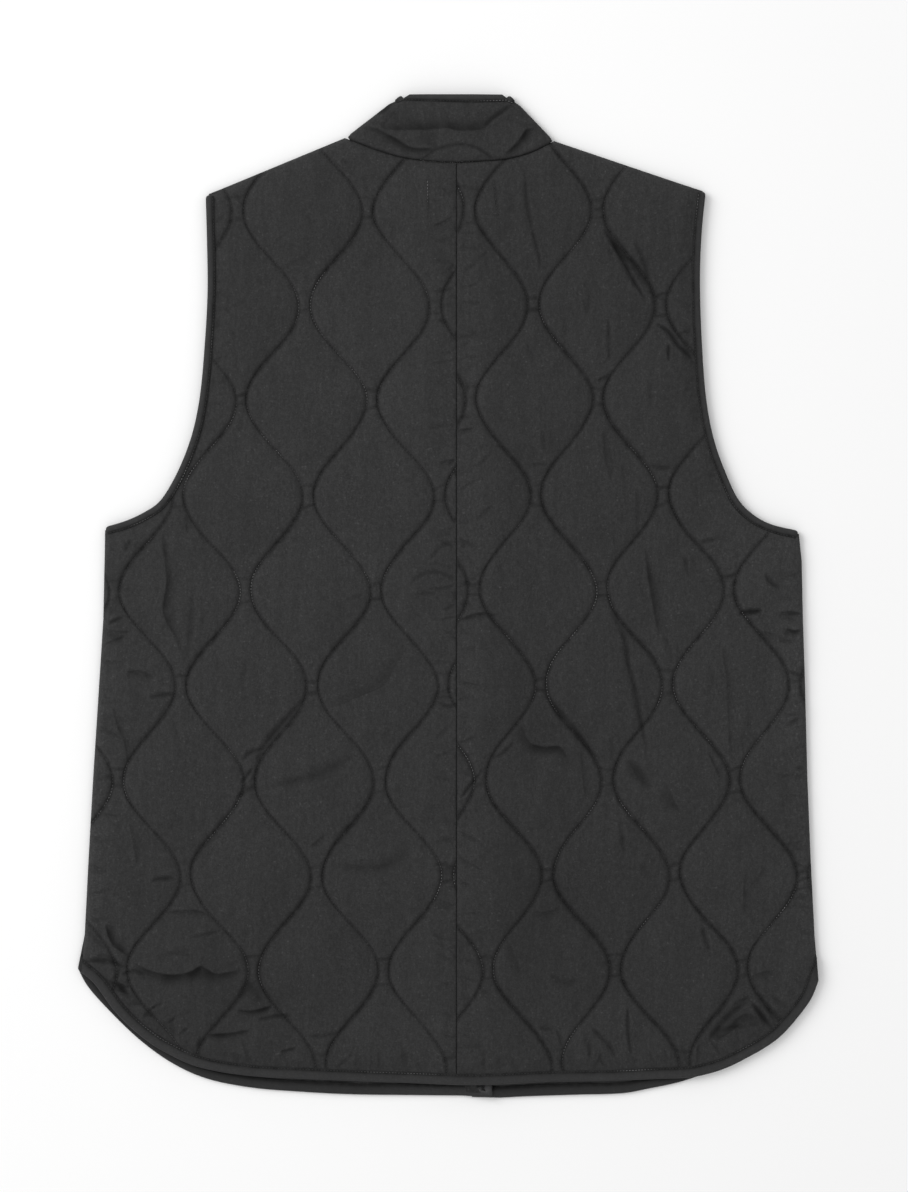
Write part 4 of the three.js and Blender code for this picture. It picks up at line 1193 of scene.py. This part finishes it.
def collarPieces():
    stations = collarStations()
    inBinding = heldBack("collarBinding")
    rings, seams = [], []
    for place in stations:
        inner, outer, turn, away, rise = place
        length = np.linalg.norm(outer - inner)
        cloth = (inner, inner + (outer - inner) * (1 - inBinding / length), turn, away, rise)
        shares = np.linspace(0, 1, collar["rows"])
        far = shares * (length - inBinding)
        toTop = length - plan["collarBinding"] - far
        thick = 0.5 - 0.33 * (1 - smoothStep(toTop, 0, 6)) - 0.22 * (1 - smoothStep(far, 0, 4))
        thick = np.maximum(thick, 0.16)
        lower = [stripPoint(cloth, s, -t, plan["wall"]) for s, t in zip(shares, thick)]
        upper = [stripPoint(cloth, s, t, plan["wall"]) for s, t in zip(shares, thick)]
        rings.append([*lower, *upper[::-1]])
        seams += [*far, *far[::-1]]
    rings = np.array(rings)
    seams = np.array(seams)
    rows = collar["rows"]
    turns = np.array([s[2] for s in stations])
    shown = turns == 0.0
    upper = rings[:, rows:]
    x, up = upper[..., 0].ravel(), upper[..., 1].ravel()
    seam = seams.reshape(len(stations), -1)
    arc = smoothLine(collarArc, 30)
    lines = [(depth, width, side, smoothLine(points, 36)) for depth, width, side, points in collarCreases]
    relief, shade = creaseField(x, up, lines)
    relief = np.maximum(relief, collar["deepest"])
    relief += collar["puff"] * (patches(collar["seed"], x, up, collar["patch"]) * 0.4 + 0.5)
    inward = np.sin(np.pi * np.linspace(0, 1, rows))[::-1] ** 0.5
    upper[shown, :, 2] += (relief.reshape(len(stations), rows) * inward)[shown]
    seam[:, rows:] = np.minimum(seam[:, rows:], distanceTo(arc, x, up)[0].reshape(len(stations), rows))
    points, faces = loft(rings.tolist(), False)
    shades = np.zeros(rings.shape[:2])
    # painted crease shade on the upper face and round the folded edges
    shades[:, rows:] = shade.reshape(len(stations), rows) * (turns < collar["foldShade"])[:, None]
    cloth = meshOf("collar_cloth", points, faces, seam.ravel(), 0.3, shades.ravel())
    edge = []
    for inner, outer, turn, away, rise in stations:
        share = 1 - plan["collarBinding"] / np.linalg.norm(outer - inner)
        edge.append((inner + (outer - inner) * share, outer, turn, away, rise))
    tape = tapeOf("collar_tape", edge, False, 71)
    path = [stripPoint(place, binding["stitchedAt"], 0.5, plan["wall"]) for place in edge if place[2] == 0.0]
    print("collar made")
    return cloth, tape, path, stations


pieces = {}
stitchLines = {"left": [], "right": []}
rings = {}
for side in halves:
    pieces[f"back_{side}"], rings[f"back_{side}"], found = backPanel(side)
    stitchLines[side] += found
    pieces[f"front_{side}"], rings[f"front_{side}"] = frontPanel(side)
    pieces[f"armhole_binding_{side}"], path = armholeTape(side)
    stitchLines[side].append(np.array(path))
    pieces[f"front_binding_{side}"] = frontTape(side)
pieces["hem_binding_back"], hemPath = hemTape()
pieces["collar"], pieces["collar_binding"], collarPath, collarPlaces = collarPieces()
stitchLines["left"] += [np.array(hemPath), np.array(collarPath)]
print("pieces made")


# Materials

def nodesOf(name):
    material = bpy.data.materials.new(name)
    material.use_nodes = True
    tree = material.node_tree

    def add(kind, **settings):
        node = tree.nodes.new(kind)
        for key, value in settings.items():
            if key in node.inputs:
                node.inputs[key].default_value = value
            else:
                setattr(node, key, value)
        return node

    def link(a, b):
        tree.links.new(a, b)

    def scaled(value, low, high, toLow, toHigh, clamp=True):
        ramp = add("ShaderNodeMapRange", clamp=clamp)
        for key, number in (("From Min", low), ("From Max", high), ("To Min", toLow), ("To Max", toHigh)):
            ramp.inputs[key].default_value = number
        link(value, ramp.inputs["Value"])
        return ramp.outputs["Result"]

    def combined(operation, a, b):
        node = add("ShaderNodeMath", operation=operation)
        for socket, value in zip(node.inputs, (a, b)):
            if isinstance(value, (int, float)):
                socket.default_value = value
            else:
                link(value, socket)
        return node.outputs["Value"]

    return material, tree.nodes["Principled BSDF"], add, link, scaled, combined


def clothMaterial(name, look):
    material, shader, add, link, scaled, combined = nodesOf(name)
    place = add("ShaderNodeTexCoord").outputs["Object"]

    def noise(scale, detail, stretch=(1, 1, 1)):
        mapping = add("ShaderNodeMapping")
        mapping.inputs["Scale"].default_value = stretch
        link(place, mapping.inputs["Vector"])
        texture = add("ShaderNodeTexNoise", Scale=scale, Detail=detail, Roughness=0.55)
        link(mapping.outputs["Vector"], texture.inputs["Vector"])
        return texture.outputs["Fac"]

    def weave(direction, pitch):
        wave = add("ShaderNodeTexWave", wave_type="BANDS", bands_direction=direction,
                   Scale=math.pi / (10 * pitch), Distortion=1.2, Detail=2.0)
        wave.inputs["Detail Scale"].default_value = 1.5
        link(place, wave.inputs["Vector"])
        return wave.outputs["Fac"]

    def swing(value, spread, low=0.3, high=0.7):  # from 1 - spread to 1 + spread
        return scaled(value, low, high, 1 - spread, 1 + spread)

    # what the meshes carry at each point: mm to a stitch line, how hard it draws the cloth in, and painted shade, or
    # painted light below 0
    seam, pull, shade = (add("ShaderNodeAttribute", attribute_name=key).outputs["Fac"]
                         for key in ("seam", "pull", "shade"))
    slub = noise(look["slubScale"], 3, (1, 0.42, 1))
    cross = noise(look["slubScale"] * 1.3, 2, (0.45, 1, 1))
    grain = noise(look["grainScale"], 2)
    streaks = noise(look["streakScale"], 3, (1, 0.16, 1))
    specks = scaled(noise(look["speckScale"], 0), 0.74, 0.82, 1, 1 + look["speckTone"])
    threads = combined("ADD", weave("X", look["pitch"]), weave("Y", look["pitch"]))
    # painted shade along the stitch lines, wider and darker where the cloth is drawn in, and uneven along them
    reach = scaled(pull, 0, 1, *look["seamReach"], clamp=False)
    fall = combined("POWER", combined("DIVIDE", seam, reach), 2.0)
    fall = combined("EXPONENT", combined("MULTIPLY", fall, -1.0), 0)
    sunk = combined("MULTIPLY", fall, scaled(pull, 0, 1, *look["seamTone"], clamp=False))
    sunk = combined("MULTIPLY", sunk, swing(noise(look["gatherScale"], 2), look["gatherTone"], 0.35, 0.65))
    # the painted shade darkens the colour, and below 0 painted light brightens it
    hollow = combined("MULTIPLY_ADD", shade, -look["creaseTone"])
    hollow.node.inputs[2].default_value = 1.0
    tone = swing(slub, look["slubTone"])
    for factor in (swing(cross, look["slubTone"] * 0.5), swing(grain, look["grainTone"]),
                   swing(noise(look["cloudScale"], 3), look["cloudTone"]),
                   swing(streaks, look["streakTone"], 0.35, 0.65), swing(threads, look["weaveTone"], 0, 2), specks,
                   scaled(sunk, 0, 1, 1, 0), combined("MAXIMUM", hollow, 0.1)):
        tone = combined("MULTIPLY", tone, factor)
    colour = add("ShaderNodeMix", data_type="RGBA", blend_type="MULTIPLY")
    colour.inputs["Factor"].default_value = 1
    for socket in colour.inputs:
        if socket.type == "RGBA" and socket.name == "A":
            socket.default_value = (*look["colour"], 1)
        if socket.type == "RGBA" and socket.name == "B":
            link(tone, socket)
    link(next(o for o in colour.outputs if o.type == "RGBA"), shader.inputs["Base Color"])
    rough = scaled(combined("ADD", slub, grain), 0.7, 1.3, look["roughness"] - 0.06, look["roughness"] + 0.06)
    link(rough, shader.inputs["Roughness"])
    relief = combined("MULTIPLY", slub, 0.5)
    for value, share in ((cross, 0.25), (grain, 0.25), (threads, 0.1), (scaled(seam, 0, 1, -0.8, 0), 1)):
        relief = combined("ADD", relief, combined("MULTIPLY", value, share))
    bump = add("ShaderNodeBump", Strength=look["bump"], Distance=0.0004)
    link(relief, bump.inputs["Height"])
    link(bump.outputs["Normal"], shader.inputs["Normal"])
    shader.inputs["Specular IOR Level"].default_value = look["specular"]
    shader.inputs["Sheen Weight"].default_value = look["sheen"]
    shader.inputs["Sheen Roughness"].default_value = 0.5
    return material


quiltedCloth = {
    "colour": (0.0225, 0.0225, 0.0227), "roughness": 0.84, "specular": 0.24, "sheen": 0.03, "bump": 0.6,
    "pitch": 0.00062, "weaveTone": 0.08, "slubScale": 560, "slubTone": 0.24, "grainScale": 980, "grainTone": 0.3,
    "cloudScale": 16, "cloudTone": 0.05, "streakScale": 150, "streakTone": 0.07,
    "speckScale": 500, "speckTone": 0.5, "gatherScale": 230, "gatherTone": 0.3,
    "seamReach": (1.15, 2.0), "seamTone": (0.46, 0.6), "creaseTone": 0.52,  # painted shade along the seams: loose, drawn in; then the painted crease shade
}
bindingTape = {
    "colour": (0.0215, 0.0215, 0.0218), "roughness": 0.8, "specular": 0.26, "sheen": 0.03, "bump": 0.5,
    "pitch": 0.0005, "weaveTone": 0.08, "slubScale": 700, "slubTone": 0.14, "grainScale": 980, "grainTone": 0.2,
    "cloudScale": 16, "cloudTone": 0.05, "streakScale": 200, "streakTone": 0.04,
    "speckScale": 500, "speckTone": 0.4, "gatherScale": 230, "gatherTone": 0.3,
    "seamReach": (1.6, 1.6), "seamTone": (0.72, 0.72), "creaseTone": 0.45,
}
threadLook = {
    # a noise's scale, its range and the tones that it gives: painted highlights where the thread would catch the
    # light, then its twist
    "tones": [(15.0, 0.55, 0.7, 0.022, 0.2), (4000.0, 0.3, 0.7, 0.7, 1.3)],
    "roughness": 0.6, "specular": 0.35,
}

cloth = clothMaterial("quilted cloth", quiltedCloth)
tape = clothMaterial("binding tape", bindingTape)
thread, threadShader, add, link, scaled, combined = nodesOf("sewing thread")
threadPlace = add("ShaderNodeTexCoord").outputs["Object"]
tones = []
for scale, *span in threadLook["tones"]:
    wander = add("ShaderNodeTexNoise", Scale=scale, Detail=1.0)
    link(threadPlace, wander.inputs["Vector"])
    tones.append(scaled(wander.outputs["Fac"], *span))
link(combined("MULTIPLY", *tones), threadShader.inputs["Base Color"])
threadShader.inputs["Roughness"].default_value = threadLook["roughness"]
threadShader.inputs["Specular IOR Level"].default_value = threadLook["specular"]


# Stitches: one along each even step of a line, by Geometry Nodes

stitches = {"Pitch": 0.0024, "Length": 0.0017, "Width": 0.00045, "Lift": 0.0001, "Seed": 4}


def stitchTree():
    tree = bpy.data.node_groups.new("row of stitches", "GeometryNodeTree")
    face = tree.interface
    face.new_socket("Geometry", in_out="INPUT", socket_type="NodeSocketGeometry")
    for name, kind in (("Pitch", "Float"), ("Length", "Float"), ("Width", "Float"), ("Lift", "Float"),
                       ("Seed", "Int"), ("Thread", "Material")):
        face.new_socket(name, in_out="INPUT", socket_type=f"NodeSocket{kind}")
    face.new_socket("Geometry", in_out="OUTPUT", socket_type="NodeSocketGeometry")
    start, end = tree.nodes.new("NodeGroupInput"), tree.nodes.new("NodeGroupOutput")

    def add(kind, **settings):
        node = tree.nodes.new("GeometryNode" + kind)
        for key, value in settings.items():
            setattr(node, key, value)
        return node

    curve = add("MeshToCurve")
    even = add("ResampleCurve", mode="LENGTH")
    tangent = add("InputTangent")
    turn = tree.nodes.new("FunctionNodeAlignRotationToVector")
    turn.axis = "X"
    ball = add("MeshUVSphere")
    ball.inputs["Radius"].default_value = 0.5
    ball.inputs["Segments"].default_value = 6
    ball.inputs["Rings"].default_value = 4
    size = tree.nodes.new("ShaderNodeCombineXYZ")
    vary = tree.nodes.new("FunctionNodeRandomValue")
    vary.data_type = "FLOAT"
    vary.inputs[2].default_value, vary.inputs[3].default_value = 0.82, 1.12
    long = tree.nodes.new("ShaderNodeMath")
    long.operation = "MULTIPLY"
    lay = add("InstanceOnPoints")
    raised = add("SetPosition")
    up = tree.nodes.new("ShaderNodeCombineXYZ")
    real, paint = add("RealizeInstances"), add("SetMaterial")
    for a, output, b, into in (
            (start, "Geometry", curve, "Mesh"), (curve, "Curve", even, "Curve"), (start, "Pitch", even, "Length"),
            (even, "Curve", raised, "Geometry"), (start, "Lift", up, "Z"), (up, "Vector", raised, "Offset"),
            (raised, "Geometry", lay, "Points"), (tangent, "Tangent", turn, "Vector"),
            (turn, "Rotation", lay, "Rotation"), (ball, "Mesh", lay, "Instance"), (start, "Seed", vary, "Seed"),
            (start, "Length", long, 0), (vary, 1, long, 1), (long, "Value", size, "X"),
            (start, "Width", size, "Y"), (start, "Width", size, "Z"), (size, "Vector", lay, "Scale"),
            (lay, "Instances", real, "Geometry"), (real, "Geometry", paint, "Geometry"),
            (start, "Thread", paint, "Material"), (paint, "Geometry", end, "Geometry")):
        tree.links.new(a.outputs[output], b.inputs[into])
    return tree


def sewn(name, lines, tree):
    points = np.vstack(lines)
    placed = (points + [plan["shiftX"], plan["shiftUp"], 0]) / 1000
    edges, first = [], 0
    for line in lines:
        edges += [(first + i, first + i + 1) for i in range(len(line) - 1)]
        first += len(line)
    mesh = bpy.data.meshes.new(name + "_path")
    mesh.from_pydata(placed.tolist(), edges, [])
    path = bpy.data.objects.new(name + "_path", mesh)
    bpy.context.scene.collection.objects.link(path)
    modifier = path.modifiers.new("stitches", "NODES")
    modifier.node_group = tree
    for socket in tree.interface.items_tree:
        if socket.in_out == "INPUT" and socket.name in stitches:
            modifier[socket.identifier] = stitches[socket.name]
        if socket.in_out == "INPUT" and socket.name == "Thread":
            modifier[socket.identifier] = thread
    bpy.context.view_layer.update()
    made = bpy.data.meshes.new_from_object(path.evaluated_get(bpy.context.evaluated_depsgraph_get()))
    bpy.data.objects.remove(path)
    made.shade_smooth()
    piece = bpy.data.objects.new(name, made)
    bpy.context.scene.collection.objects.link(piece)
    print(f"{name}: {len(made.polygons)} faces")
    return piece


tree = stitchTree()
sewing = {side: sewn(f"stitches_{side}", lines, tree) for side, lines in stitchLines.items()}


# Each piece gets its material and hangs from the root body, and the frame part of the same name is hidden. The panel
# areas and the collar length are worked out and not used.

for name, piece in pieces.items():
    tapeLike = "binding" in name
    piece.data.materials.append(tape if tapeLike else cloth)
    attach(piece, "root")
    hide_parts(name)
for piece in sewing.values():
    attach(piece, "root")


def declared(ring):
    float(areaOf(ring) / 1e6)


declared(rings["front_right"])
declared(rings["front_left"])
declared(rings["back_left"])
declared(rings["back_right"])
inner = np.array([s[0] for s in collarPlaces])
outer = np.array([s[1] for s in collarPlaces])
collarLength = lengthOf((inner + outer) / 2) / 1000


# Floor, light and camera

studio = {
    "floorTone": 0.92, "floorReach": 6, "floorLevel": -0.0004, "worldStrength": 0.76,
    "keyStrength": 76.0, "keySize": 2.4, "keyPlace": (-2.6, 1.3, 2.3),
    "cameraHeight": 3.0, "aboveCloth": 0.008, "sensor": 36.0,
    "pixel": 0.00078, "pictureHeight": 1192, "aside": (6, 0.5),  # metres to a pixel, and pixels off the middle
}

floorMesh = bpy.data.meshes.new("floor")
floorMesh.from_pydata([(a * studio["floorReach"], b * studio["floorReach"], studio["floorLevel"])
                       for a, b in ((-1, -1), (1, -1), (1, 1), (-1, 1))], [], [(0, 1, 2, 3)])
floor = bpy.data.objects.new("floor", floorMesh)
bpy.context.scene.collection.objects.link(floor)
floorMaterial, floorShader, *_ = nodesOf("pale floor")
floorShader.inputs["Base Color"].default_value = (*[studio["floorTone"]] * 3, 1)
floorShader.inputs["Roughness"].default_value = 0.9
floorShader.inputs["Specular IOR Level"].default_value = 0.1
floorMesh.materials.append(floorMaterial)

world = bpy.data.worlds.new("studio")
world.use_nodes = True
world.node_tree.nodes["Background"].inputs["Color"].default_value = (1, 1, 1, 1)
world.node_tree.nodes["Background"].inputs["Strength"].default_value = studio["worldStrength"]
bpy.context.scene.world = world

key = bpy.data.lights.new("key", "AREA")
key.energy, key.size = studio["keyStrength"], studio["keySize"]
keyLight = bpy.data.objects.new("key", key)
keyLight.location = studio["keyPlace"]
keyLight.rotation_euler = (Vector((0, 0, 0)) - keyLight.location).to_track_quat("-Z", "Y").to_euler()
bpy.context.scene.collection.objects.link(keyLight)

bpy.context.scene.view_settings.view_transform = "Standard"

camera = bpy.data.cameras.new("camera")
cameraObject = bpy.data.objects.new("camera", camera)
bpy.context.scene.collection.objects.link(cameraObject)
camera.sensor_width = studio["sensor"]
camera.lens = studio["sensor"] * studio["cameraHeight"] / (studio["pictureHeight"] * studio["pixel"])
cameraObject.location = (*(far * studio["pixel"] for far in studio["aside"]),
                         studio["cameraHeight"] + studio["aboveCloth"])
bpy.context.scene.camera = cameraObject

bpy.context.view_layer.update()
